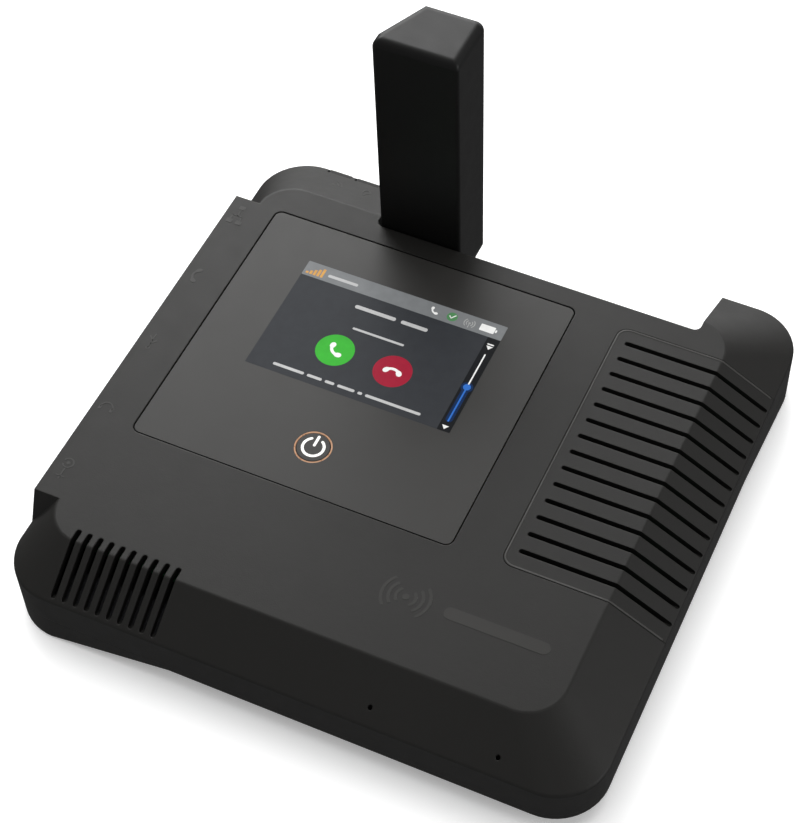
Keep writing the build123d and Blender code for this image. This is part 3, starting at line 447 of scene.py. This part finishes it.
# ---- settings ------------------------------------------------------------------------------------------
class HousingSettings(bpy.types.PropertyGroup):
    """Colours and texture of the moulded case."""

    case_colour: colour_property("Case", "Colour of the moulded case", (0.0118, 0.0114, 0.0106))
    grille_colour: colour_property("Grille", "Colour of the vent grille", (0.0112, 0.0108, 0.0101))
    antenna_colour: colour_property("Antenna", "Colour of the antenna's case", (0.0050, 0.0050, 0.0049))
    panel_colour: colour_property("Panel", "Colour of the touch panel", (0.0240, 0.0233, 0.0220))
    # the bead's light colour is a painted highlight: it stands for the light line along the vent grille's
    # edge
    bead_highlight_colour: colour_property("Bead", "Colour of the bead around the grille", (0.040, 0.039, 0.037))
    mark_colour: colour_property("Marks", "Colour of the small port marks", (0.036, 0.0355, 0.034))
    roughness: FloatProperty(name="Roughness", description="Case roughness", default=0.5, min=0.0, max=1.0)
    grain_depth: length_property("Grain depth", "Depth of the spark texture", 2.2e-5)
    bead_width: length_property("Bead width", "Width of the bead around the grille", 0.0007)
    bead_height: length_property("Bead height", "Height of the bead around the grille", 0.00016)
    mark_width: length_property("Mark width", "Line width of the port marks", 0.00045)
    mark_height: length_property("Mark height", "Height of the port marks", 0.00008)


class ScreenSettings(bpy.types.PropertyGroup):
    """Sizes and colours of what the display shows."""

    inset_left: length_property("Left inset", "Screen's left edge from the panel's", 0.0206)
    inset_front: length_property("Front inset", "Screen's front edge from the panel's", 0.0401)
    width: length_property("Width", "Width of the lit screen", 0.0748)
    height: length_property("Height", "Height of the lit screen", 0.0486)
    bar_height: length_property("Bar height", "Height of the status bar", 0.0064)
    slider_strip: length_property("Slider strip", "Width of the dark strip under the slider", 0.0046)
    key_radius: length_property("Key radius", "Radius of the round call keys", 0.0067)
    film: length_property("Film", "How far each layer stands above the panel", 0.00002)
    back_colour: colour_property("Background", "Colour of the screen's background", (0.0220, 0.0238, 0.0270))
    bar_colour: colour_property("Status bar", "Colour of the status bar", (0.128, 0.134, 0.138))
    strip_colour: colour_property("Strip", "Colour of the slider's strip", (0.0055, 0.0060, 0.0070))
    ink_colour: colour_property("Ink", "Colour of the pale symbols", (0.56, 0.56, 0.55))
    text_colour: colour_property("Text", "Colour of the place-holder text lines", (0.33, 0.33, 0.33))
    answer_colour: colour_property("Answer", "Colour of the answer key", (0.026, 0.27, 0.022))
    refuse_colour: colour_property("Refuse", "Colour of the refuse key", (0.215, 0.007, 0.022))
    signal_colour: colour_property("Signal", "Colour of the signal bars", (0.40, 0.21, 0.055))
    slider_colour: colour_property("Slider", "Colour of the slider's lower part", (0.020, 0.10, 0.36))
    ready_colour: colour_property("Ready", "Colour of the ready mark", (0.055, 0.16, 0.065))
    glow: number_property("Glow", "How brightly the screen is lit", 0.4)


class ButtonSettings(bpy.types.PropertyGroup):
    """The power button's symbol and light."""

    symbol_radius: length_property("Symbol radius", "Radius of the symbol's ring", 0.00355)
    symbol_width: length_property("Symbol width", "Line width of the symbol", 0.00092)
    symbol_height: length_property("Symbol height", "How far the symbol stands up", 0.00005)
    symbol_gap: number_property("Gap", "Half of the ring's gap, in degrees", 33.0)
    light_colour: colour_property("Light", "Colour of the light ring", (0.42, 0.22, 0.115))
    glow: number_property("Glow", "How brightly the ring is lit", 0.12)


class StudioSettings(bpy.types.PropertyGroup):
    """Floor, lights and camera."""

    floor_size: length_property("Floor size", "Side of the square floor", 6.0)
    floor_colour: colour_property("Floor", "Colour of the floor", (0.93, 0.93, 0.93))
    floor_glow: number_property("Floor glow", "Light that the floor adds of its own", 0.3)
    key_power: number_property("Rear light", "Power of the rear left light, in watts", 17.0)
    low_power: number_property("Low light", "Power of the low rear light, in watts", 6.0)
    top_power: number_property("Top light", "Power of the overhead light, in watts", 58.0)
    side_power: number_property("Side light", "Power of the right light, in watts", 5.0)
    sky: number_property("Sky", "Strength of the even light all round", 0.12)
    focal_length: number_property("Focal length", "Camera focal length, in mm", 92.67)
    shift_x: number_property("Shift X", "Camera shift across", -0.0949)
    shift_y: number_property("Shift Y", "Camera shift up", -0.0042)
    azimuth: number_property("Azimuth", "Camera angle round the object, in degrees", 23.5226)
    elevation: number_property("Elevation", "Camera angle above the floor, in degrees", 52.690)
    roll: number_property("Roll", "Camera roll, in degrees", 0.1345)
    camera_place: FloatVectorProperty(
        name="Camera place",
        description="Where the camera stands",
        default=(0.1834, -0.3720, 0.5879),
        size=3,
        subtype="TRANSLATION",
    )


class PhoneSettings(bpy.types.PropertyGroup):
    """All of the phone's settings."""

    housing: PointerProperty(type=HousingSettings)
    screen: PointerProperty(type=ScreenSettings)
    button: PointerProperty(type=ButtonSettings)
    studio: PointerProperty(type=StudioSettings)


# ---- the case ------------------------------------------------------------------------------------------
class FinishCase(bpy.types.Operator):
    """Finish the housing, the antenna's case, the covers and the grille"""

    bl_idname = "phone.finish_case"
    bl_label = "Finish the case"

    def execute(self, context):
        look = context.scene.phone.housing
        depth = look.grain_depth
        rough = look.roughness
        case = moulded_plastic("case_plastic", look.case_colour, rough, CASE_GRAIN, depth, ROUND_EDGE)
        dress(("upper_housing", "lower_housing", "battery_door"), case)
        covers = [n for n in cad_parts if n.endswith("_cover") and n != "antenna_back_cover"]
        shade = shaded(look.case_colour, -0.1)
        dress(covers, moulded_plastic("cover_plastic", shade, rough + 0.05, CASE_GRAIN, depth, WORN_EDGE))
        grille = moulded_plastic("grille_plastic", look.grille_colour, rough, CASE_GRAIN, depth, WORN_EDGE)
        dress(("vent_grille",), grille)
        satin = (rough - 0.04, SATIN_GRAIN, depth * 0.7, SOFT_EDGE)
        antenna = moulded_plastic("antenna_plastic", look.antenna_colour, *satin)
        dress(("antenna_shell", "antenna_back_cover"), antenna)
        rubber = soft_rubber("foot_rubber", RUBBER_BLACK)
        dress(("rubber_feet", "housing_gasket", "battery_door_seal", "microphone_boots"), rubber)
        return {"FINISHED"}


class FinishPanel(bpy.types.Operator):
    """Finish the touch panel, the power button and its light ring"""

    bl_idname = "phone.finish_panel"
    bl_label = "Finish the panel"

    def execute(self, context):
        look = context.scene.phone.housing
        button = context.scene.phone.button
        film = (FILM_GRAIN, 6e-6, CRISP_EDGE, 0.05)
        dress(("front_panel",), moulded_plastic("panel_film", look.panel_colour, 0.44, *film))
        dress(("power_button",), moulded_plastic("button_film", look.panel_colour, 0.42, *film))
        dress(("button_light_ring",), light_guide("amber_light_guide", button.light_colour, button.glow))
        glass = moulded_plastic("display_glass", (0.05, 0.053, 0.06), 0.2, FINE_GRAIN, 2e-6)
        dress(("display_module",), glass)
        return {"FINISHED"}


class FinishInside(bpy.types.Operator):
    """Finish the boards, sockets, metal parts and everything else inside"""

    bl_idname = "phone.finish_inside"
    bl_label = "Finish the inside"

    def execute(self, context):
        lacquer = solder_resist("board_lacquer", BOARD_GREEN)
        dress(("main_board", "button_board", "antenna_board"), lacquer)
        black = moulded_plastic("socket_plastic", SOCKET_BLACK, 0.5, 2200.0, 1.5e-5, CRISP_EDGE)
        dress(("network_socket", "phone_socket", "usb_socket", "audio_socket", "power_inlet"), black)
        dress(("power_switch", "switch_plunger", "processor", "sim_holder"), black)
        dress(("coax_plug", "speaker_driver"), black)
        steel = turned_metal("plated_steel", (0.56, 0.56, 0.57), 0.32)
        dress(("housing_screws", "battery_door_screws", "hinge_shaft", "hinge_nuts", "modem_shield"), steel)
        dress(("hinge_spring_washer",), turned_metal("spring_steel", (0.40, 0.40, 0.43), 0.28))
        aluminium = turned_metal("milled_aluminium", (0.66, 0.67, 0.68), 0.38)
        dress(("heat_sink", "hinge_block", "satellite_modem"), aluminium)
        dress(
            ("satellite_radio_socket", "gnss_radio_socket", "battery_contacts"),
            turned_metal("gold_flash", (0.83, 0.62, 0.27), 0.25),
        )
        dress(("helix_wires",), turned_metal("bare_copper", (0.80, 0.40, 0.22), 0.3))
        acetal = moulded_plastic("acetal", (0.66, 0.65, 0.60), 0.45, 1800.0, SHALLOW, CRISP_EDGE, 0.04)
        dress(("hinge_bushes", "hinge_thrust_washer", "helix_core"), acetal)
        ceramic = moulded_plastic("fired_ceramic", (0.62, 0.58, 0.50), 0.6, 1500.0, 2 * SHALLOW, CRISP_EDGE)
        dress(("gnss_patch_antenna", "wifi_antennas"), ceramic)
        cloth = woven_cloth("speaker_cloth_weave", (0.02, 0.02, 0.022))
        dress(("speaker_cloth", "panel_adhesive", "thermal_pad"), cloth)
        wrap = moulded_plastic("battery_wrap", (0.05, 0.055, 0.07), 0.35, 800.0, 2e-5, 0.0004)
        dress(("battery_pack",), wrap)
        dress(("antenna_coax",), soft_rubber("coax_jacket", (0.018, 0.018, 0.018)))
        dress(("display_flex",), light_guide("flex_film", (0.55, 0.27, 0.05), 0.0))
        return {"FINISHED"}


class BuildGrilleHighlightBead(bpy.types.Operator):
    """Build the low bead that frames the vent grille over the shoulder, coloured lighter than the case as a
    painted highlight along the grille's edge
    """

    bl_idname = "phone.grille_bead"
    bl_label = "Grille bead"

    corner: length_property("Corner", "Radius of the bead's corners", 0.0038)
    edge_margin: length_property("Margin", "How far the bead stops short of the housing's side", 0.0012)

    def execute(self, context):
        look = context.scene.phone.housing
        half = look.bead_width / 2
        low = (GRILLE_LOW.x + half, GRILLE_LOW.y + half)
        high = (GRILLE_HIGH.x - self.edge_margin, GRILLE_HIGH.y - half)
        corner = self.corner
        reach = high[0] - low[0] - corner
        run = [(high[0] - reach * i / BEAD_STEPS, high[1]) for i in range(BEAD_STEPS + 1)]
        path = run + arc_points((low[0] + corner, high[1] - corner), corner, 90, 180, 10)[1:]
        path += arc_points((low[0] + corner, low[1] + corner), corner, 180, 270, 10)
        path += [(x, low[1]) for x, _ in reversed(run)][1:]
        # lighter than the case: a painted highlight along the grille's edge
        finish = moulded_plastic("bead_painted_highlight", look.bead_highlight_colour, 0.4, CASE_GRAIN, SHALLOW)
        size = (look.bead_width, look.bead_height, BEAD_ROOT)
        bead("grille_bead", path, right_shoulder, *size, finish, "vent_plastic")
        return {"FINISHED"}


class BuildPortMarks(bpy.types.Operator):
    """Build the small raised marks beside the ports"""

    bl_idname = "phone.port_marks"
    bl_label = "Port marks"

    def execute(self, context):
        look = context.scene.phone.housing
        width = look.mark_width
        column = HOUSING_LOW.x + MARK_INSET
        covers = [f"{port}_port_cover" for port in ("network", "phone", "usb", "audio", "power")]
        rows = [sum(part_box(name)[i].y for i in (0, 1)) / 2 for name in covers]
        finish = moulded_plastic("mark_plastic", look.mark_colour, 0.55, CASE_GRAIN, SHALLOW)
        figures = (
            self.network(width),
            self.handset(width),
            self.data(width),
            self.earphones(width),
            self.supply(width),
        )
        plateau = level(PLATEAU_Z)
        height = look.mark_height
        for name, row, figure in zip(covers, rows, figures):
            outlines = [shifted(outline, (column, row)) for outline in figure]
            raised_outlines(f"mark_{name}", outlines, plateau, height, ROOT, finish)
        rear = ("satellite_socket_cover", "gnss_socket_cover")
        for name, figure in zip(rear, (self.waves(width), self.pin(width))):
            low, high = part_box(name)
            place = ((low.x + high.x) / 2 + REAR_MARK_SHIFT[0], high.y + REAR_MARK_SHIFT[1])
            outlines = [shifted(outline, place) for outline in figure]
            raised_outlines(f"mark_{name}", outlines, rear_shoulder, height, ROOT, finish)
        return {"FINISHED"}

    @staticmethod
    def network(width):
        """Three linked boxes."""
        middles = ((0, 0.0038), (-0.0018, -0.0030), (0.0018, -0.0030))
        boxes = [rounded_box((x - 0.0011, y - 0.0009), (x + 0.0011, y + 0.0009), 0.0002) for x, y in middles]
        lines = [stroke([(0, 0.0028), (0, 0)], width), stroke([(-0.0018, 0), (0.0018, 0)], width)]
        lines += [stroke([(x, 0), (x, -0.0020)], width) for x in (-0.0018, 0.0018)]
        return boxes + lines

    @staticmethod
    def handset(width):
        """A telephone handset."""
        return [stroke(arc_points((0.0016, 0), 0.0030, 120, 240, 16), width * 1.6, width * 3.4)]

    @staticmethod
    def data(width):
        """A plug with two arms."""
        return [
            stroke([(0, -0.0030), (0, 0.0030)], width),
            stroke([(0, -0.0012), (0.0015, 0.0004)], width),
            stroke([(0, 0.0002), (-0.0015, 0.0018)], width),
            disc((0, -0.0032), 0.0007),
        ]

    @staticmethod
    def earphones(width):
        """A headband with two cups."""
        cups = [rounded_box((x - 0.0005, -0.0014), (x + 0.0005, 0.0004), 0.0003) for x in (-0.0021, 0.0021)]
        return cups + [stroke(arc_points((0, 0), 0.0021, 0, 180, 16), width)]

    @staticmethod
    def supply(width):
        """A round plug with its centre pin and lead."""
        return [
            stroke(arc_points((0, 0.0024), 0.0018, -150, 150, 20), width),
            disc((0, 0.0024), 0.0006),
            stroke([(0, 0.0), (0, -0.0042)], width),
            stroke([(-0.0014, -0.0030), (0.0014, -0.0030)], width),
        ]

    @staticmethod
    def waves(width):
        """A source with two waves."""
        return [
            disc((-0.0014, -0.0014), 0.0006),
            stroke(arc_points((-0.0014, -0.0014), 0.0018, 0, 90, 10), width),
            stroke(arc_points((-0.0014, -0.0014), 0.0031, 0, 90, 12), width),
        ]

    @staticmethod
    def pin(width):
        """A place marker."""
        head = stroke(arc_points((0, 0.0008), 0.0013, -50, 230, 16), width)
        return [head, stroke([(0, -0.0022), (0.0008, -0.0004)], width)]


class BuildEmblem(bpy.types.Operator):
    """Build a plain raised emblem of waves and a bar on the front of the plateau"""

    bl_idname = "phone.emblem"
    bl_label = "Emblem"

    left: length_property("Left", "Left end of the emblem", 0.018)
    right: length_property("Right", "Right end of the emblem", 0.072)
    row: length_property("Row", "Middle of the emblem", -0.0612)
    height: length_property("Height", "How far the emblem stands up", 0.00007)
    line: length_property("Line", "Line width of the waves", 0.0010)
    source_inset: length_property("Source", "The waves' source from the left end", 0.006)
    bar_inset: length_property("Bar", "The bar's start from the left end", 0.019)
    bar_half: length_property("Bar height", "Half of the bar's height", 0.0022)

    def execute(self, context):
        look = context.scene.phone.housing
        source = (self.left + self.source_inset, self.row)
        outlines = [disc(source, 0.0011)]
        for radius in (0.0032, 0.0055, 0.0078):
            outlines.append(stroke(arc_points(source, radius, -42, 42, 16), self.line))
            outlines.append(stroke(arc_points(source, radius, 138, 222, 16), self.line))
        low = (self.left + self.bar_inset, self.row - self.bar_half)
        high = (self.right, self.row + self.bar_half)
        outlines.append(rounded_box(low, high, 0.0021))
        finish = moulded_plastic("emblem_plastic", shaded(look.case_colour, 0.75), 0.42, CASE_GRAIN, SHALLOW)
        raised_outlines("emblem", outlines, level(PLATEAU_Z), self.height, ROOT, finish)
        return {"FINISHED"}


# ---- the screen ----------------------------------------------------------------------------------------
class ScreenPlan:
    """Places on the lit screen, from its front left corner, and the height of each layer."""

    def __init__(self, look):
        self.look = look
        self.origin = (PANEL_LOW.x + look.inset_left, PANEL_LOW.y + look.inset_front)

    def put(self, outlines):
        """Outlines drawn in millimetres on the screen, moved to the panel in metres."""
        left, front = self.origin
        return [[(left + x * MM, front + y * MM) for x, y in outline] for outline in outlines]

    def show(self, name, outlines, layer, finish):
        """Show figures as one layer of the screen."""
        film = self.look.film
        glass = level(PANEL_HIGH.z)
        placed = self.put(outlines)
        return raised_outlines(name, placed, glass, film * layer, film / 2, finish)


def handset_outline(centre, size, turn):
    """A telephone handset, drawn as an arc with thick ends, opening towards an angle."""
    reach = size * 0.95
    middle = (centre[0] + size * 0.62, centre[1])
    bow = arc_points(middle, reach, 122, 238, 24)
    return turned(stroke(bow, size * 0.34, size * 0.62), centre, turn)


class BuildScreen(bpy.types.Operator):
    """Build the lit screen with its status bar and the strip under the slider"""

    bl_idname = "phone.screen"
    bl_label = "Screen"

    def execute(self, context):
        look = context.scene.phone.screen
        plan = ScreenPlan(look)
        width, height = look.width / MM, look.height / MM
        bar_foot = height - look.bar_height / MM
        strip = width - look.slider_strip / MM
        fields = (
            ("screen_background", look.back_colour, (0, 0), (width, height), GROUND),
            ("screen_status_bar", look.bar_colour, (0, bar_foot), (width, height), FIELD),
            ("screen_slider_strip", look.strip_colour, (strip, 0), (width, bar_foot), FIELD),
        )
        for name, colour, low, high, layer in fields:
            finish = lit_print(f"{name}_tone", colour, look.glow, SCREEN_ROUGHNESS)
            plan.show(name, [rounded_box(low, high, SCREEN_CORNER)], layer, finish)
        return {"FINISHED"}


class BuildCallKeys(bpy.types.Operator):
    """Build the round answer and refuse keys with their handsets"""

    bl_idname = "phone.call_keys"
    bl_label = "Call keys"

    def execute(self, context):
        look = context.scene.phone.screen
        plan = ScreenPlan(look)
        radius = look.key_radius / MM
        answer, refuse = (25.5, 16.3), (47.0, 15.8)
        ink = lit_print("handset_white", look.ink_colour, look.glow)
        green = lit_print("answer_green", look.answer_colour, look.glow)
        red = lit_print("refuse_red", look.refuse_colour, look.glow)
        handset = radius * 0.46
        plan.show("answer_key", [disc(answer, radius)], FIELD, green)
        plan.show("answer_handset", [handset_outline(answer, handset, 45)], FIGURE, ink)
        plan.show("refuse_key", [disc(refuse, radius)], FIELD, red)
        plan.show("refuse_handset", [handset_outline(refuse, handset, -90)], FIGURE, ink)
        return {"FINISHED"}


class BuildTextLines(bpy.types.Operator):
    """Build plain bars that stand where the screen would show words"""

    bl_idname = "phone.text_lines"
    bl_label = "Text lines"

    def execute(self, context):
        look = context.scene.phone.screen
        plan = ScreenPlan(look)
        ink = lit_print("text_grey", look.text_colour, look.glow)
        details = ((9.0, 20.4), (21.6, 27.0), (28.2, 31.6), (32.8, 39.0), (40.2, 41.8), (43.0, 63.0))
        lines = (
            ("title_line", 36.4, 1.5, ((23.4, 38.6), (40.6, 50.4))),
            ("caller_line", 27.3, 0.9, ((26.8, 45.8),)),
            ("detail_line", 3.1, 1.1, details),
            ("network_line", 45.0, 1.2, ((9.0, 20.3),)),
        )
        for name, row, height, words in lines:
            low, high, corner = row - height / 2, row + height / 2, height * 0.45
            plan.show(name, [rounded_box((a, low), (b, high), corner) for a, b in words], FIGURE, ink)
        return {"FINISHED"}


class BuildStatusIcons(bpy.types.Operator):
    """Build the signal bars, handset, ready mark, radio waves and battery in the status bar"""

    bl_idname = "phone.status_icons"
    bl_label = "Status icons"

    row: number_property("Row", "Middle of the icons above the screen's front edge, in mm", 45.3)

    def execute(self, context):
        look = context.scene.phone.screen
        plan = ScreenPlan(look)
        row = self.row
        ink = lit_print("icon_white", look.ink_colour, look.glow)
        signal = lit_print("signal_amber", look.signal_colour, look.glow)
        first, pitch, bar_width, foot, rise = 1.0, 1.35, 0.95, row - 2.1, 0.75
        bars = []
        for i in range(5):
            left = first + i * pitch
            bars.append(rounded_box((left, foot), (left + bar_width, row - 1.2 + i * rise), 0.12))
        plan.show("signal_bars", bars, FIGURE, signal)
        plan.show("status_handset", [handset_outline((48.9, row), 1.7, 45)], FIGURE, ink)
        ready = lit_print("ready_green", look.ready_colour, look.glow)
        plan.show("ready_mark", [disc((55.6, row), 1.9)], FIGURE, ready)
        tick = stroke([(54.7, row + 0.1), (55.4, row - 0.7), (56.6, row + 0.9)], 0.4)
        plan.show("ready_tick", [tick], ACCENT, ink)
        grey = lit_print("icon_grey", shaded(look.ink_colour, -0.55), look.glow)
        mast, source = 62.1, (62.1, row - 0.2)
        waves = [disc(source, 0.42), stroke([(mast, row - 0.4), (mast, row - 2.0)], 0.3)]
        for radius in (1.1, 1.9):
            waves.append(stroke(arc_points(source, radius, -48, 48, 10), 0.34))
            waves.append(stroke(arc_points(source, radius, 132, 228, 10), 0.34))
        plan.show("radio_waves", waves, FIGURE, grey)
        cell = rounded_box((66.0, row - 1.45), (71.3, row + 1.45), 0.3)
        tip = rounded_box((71.5, row - 0.6), (72.1, row + 0.6), 0.15)
        plan.show("battery_icon", [cell, tip], FIGURE, ink)
        return {"FINISHED"}


class BuildSlider(bpy.types.Operator):
    """Build the volume slider with its knob and end arrows"""

    bl_idname = "phone.slider"
    bl_label = "Slider"

    column: number_property("Column", "Slider's line from the screen's left edge, in mm", 72.4)

    def execute(self, context):
        look = context.scene.phone.screen
        plan = ScreenPlan(look)
        column = self.column
        ink = lit_print("slider_white", look.ink_colour, look.glow)
        blue = lit_print("slider_blue", look.slider_colour, look.glow)
        knob = (column, 19.6)
        left, right = column - 1.2, column + 1.2
        upper = stroke([knob, (column, 34.6)], 0.5)
        top = [(left, 38.6), (column, 37.0), (right, 38.6)]
        lid = rounded_box((left, 39.1), (right, 39.6), 0.2)
        foot = [(left, 2.4), (column, 0.8), (right, 2.4)]
        plan.show("slider_upper", [upper, top, lid, foot], ACCENT, ink)
        halo = lit_print("slider_halo_blue", shaded(look.slider_colour, -0.85), look.glow)
        plan.show("slider_halo", [stroke([(column, 5.2), knob], 2.4)], FIGURE, halo)
        plan.show("slider_knob_halo", [disc(knob, 2.1)], HALO_TOP, halo)
        plan.show("slider_lower", [stroke([(column, 4.4), knob], 0.55)], ACCENT, blue)
        plan.show("slider_knob", [disc(knob, 1.3)], KNOB_TOP, blue)
        return {"FINISHED"}


class BuildPowerSymbol(bpy.types.Operator):
    """Build the raised power symbol on the button"""

    bl_idname = "phone.power_symbol"
    bl_label = "Power symbol"

    def execute(self, context):
        look = context.scene.phone.button
        middle = ((BUTTON_LOW.x + BUTTON_HIGH.x) / 2, (BUTTON_LOW.y + BUTTON_HIGH.y) / 2)
        ring = arc_points(middle, look.symbol_radius, 90 + look.symbol_gap, 450 - look.symbol_gap, 48)
        bar = [(middle[0], middle[1] + 0.0008), (middle[0], middle[1] + look.symbol_radius * 1.24)]
        outlines = [stroke(ring, look.symbol_width), stroke(bar, look.symbol_width)]
        ink = lit_print("symbol_white", (0.85, 0.84, 0.81), 0.25)
        cap = level(BUTTON_HIGH.z)
        height = look.symbol_height
        raised_outlines("power_symbol", outlines, cap, height, ROOT, ink, BUTTON_BODY)
        return {"FINISHED"}


# ---- the studio ----------------------------------------------------------------------------------------
class BuildStudio(bpy.types.Operator):
    """Build the pale floor, the soft lights and the camera"""

    bl_idname = "phone.studio"
    bl_label = "Studio"

    def execute(self, context):
        look = context.scene.phone.studio
        self.floor(look)
        self.lamp("rear_light", (-0.85, 1.25, 1.0), (1.3, 1.0), look.key_power, True)
        self.lamp("low_light", (-0.40, 1.55, 0.30), (1.8, 0.6), look.low_power, True)
        self.lamp("top_light", (-0.35, 0.4, 1.9), (2.6, 2.6), look.top_power, False)
        self.lamp("side_light", (1.5, 0.2, 0.7), (0.9, 0.9), look.side_power, True)
        world = bpy.data.worlds.new("studio_air")
        world.use_nodes = True
        world.node_tree.nodes["Background"].inputs["Color"].default_value = (1.0, 1.0, 1.0, 1.0)
        world.node_tree.nodes["Background"].inputs["Strength"].default_value = look.sky
        context.scene.world = world
        context.scene.view_settings.view_transform = "Standard"
        context.scene.view_settings.look = "None"
        self.camera(context, look)
        return {"FINISHED"}

    def floor(self, look):
        """A pale matt floor with a faint grain."""
        mesh = bmesh.new()
        bmesh.ops.create_grid(mesh, x_segments=2, y_segments=2, size=look.floor_size / 2)
        data = bpy.data.meshes.new("studio_floor")
        mesh.to_mesh(data)
        mesh.free()
        ground = bpy.data.objects.new("studio_floor", data)
        bpy.context.scene.collection.objects.link(ground)
        finish = Finish("floor_paper")
        grain = finish.between(finish.noise(30.0, 3.0), 0.0, 1.0)
        finish.feed(finish.blend(grain, shaded(look.floor_colour, -0.01), look.floor_colour), "Base Color")
        finish.set(Roughness=0.9, Emission_Strength=look.floor_glow, Emission_Color=(1.0, 1.0, 1.0, 1.0))
        data.materials.append(finish.material)
        ground.visible_glossy = False

    def lamp(self, name, place, size, power, mirrored):
        """A soft oblong light that faces the object, and may show in its sheen."""
        light = bpy.data.lights.new(name, "AREA")
        light.shape = "RECTANGLE"
        light.size, light.size_y = size
        light.energy = power
        holder = bpy.data.objects.new(name, light)
        holder.location = place
        holder.visible_glossy = mirrored
        holder.rotation_euler = (-Vector(place)).to_track_quat("-Z", "Y").to_euler()
        bpy.context.scene.collection.objects.link(holder)

    def camera(self, context, look):
        """The camera at the viewing angle."""
        azimuth, elevation, roll = (math.radians(v) for v in (look.azimuth, look.elevation, look.roll))
        back = Vector(
            (
                math.sin(azimuth) * math.cos(elevation),
                -math.cos(azimuth) * math.cos(elevation),
                math.sin(elevation),
            )
        )
        right = Vector((0.0, 0.0, 1.0)).cross(back).normalized()
        up = back.cross(right)
        side = math.cos(roll) * right + math.sin(roll) * up
        rise = -math.sin(roll) * right + math.cos(roll) * up
        eye = bpy.data.cameras.new("studio_camera")
        eye.lens = look.focal_length
        eye.sensor_width = 36.0
        eye.shift_x, eye.shift_y = look.shift_x, look.shift_y
        eye.clip_start = 0.01
        holder = bpy.data.objects.new("studio_camera", eye)
        turn = Matrix((side, rise, back)).transposed()
        holder.matrix_world = Matrix.Translation(look.camera_place) @ turn.to_4x4()
        context.scene.collection.objects.link(holder)
        context.scene.camera = holder


OPERATORS = (
    BuildStudio,
    FinishCase,
    FinishPanel,
    FinishInside,
    BuildGrilleHighlightBead,
    BuildPortMarks,
    BuildEmblem,
    BuildScreen,
    BuildCallKeys,
    BuildTextLines,
    BuildStatusIcons,
    BuildSlider,
    BuildPowerSymbol,
)


class PhonePanel(bpy.types.Panel):
    """Lists the phone's settings and its building steps"""

    bl_idname = "VIEW3D_PT_satellite_phone"
    bl_label = "Satellite phone"
    bl_space_type = "VIEW_3D"
    bl_region_type = "UI"
    bl_category = "Satellite phone"

    def draw(self, context):
        settings = context.scene.phone
        for group in (settings.housing, settings.screen, settings.button, settings.studio):
            box = self.layout.box()
            for name in group.bl_rna.properties.keys():
                if name not in ("rna_type", "name"):
                    box.prop(group, name)
        for operator in OPERATORS:
            self.layout.operator(operator.bl_idname)


SETTINGS = (HousingSettings, ScreenSettings, ButtonSettings, StudioSettings, PhoneSettings)


def register():
    """Register the settings, the operators and the panel."""
    for kind in (*SETTINGS, *OPERATORS, PhonePanel):
        bpy.utils.register_class(kind)
    bpy.types.Scene.phone = PointerProperty(type=PhoneSettings)


def unregister():
    """Take everything away again."""
    del bpy.types.Scene.phone
    for kind in reversed((*SETTINGS, *OPERATORS, PhonePanel)):
        bpy.utils.unregister_class(kind)


def main():
    """Build the whole scene."""
    register()
    for operator in OPERATORS:
        group, name = operator.bl_idname.split(".")
        getattr(getattr(bpy.ops, group), name)()


if __name__ == "__main__":
    main()
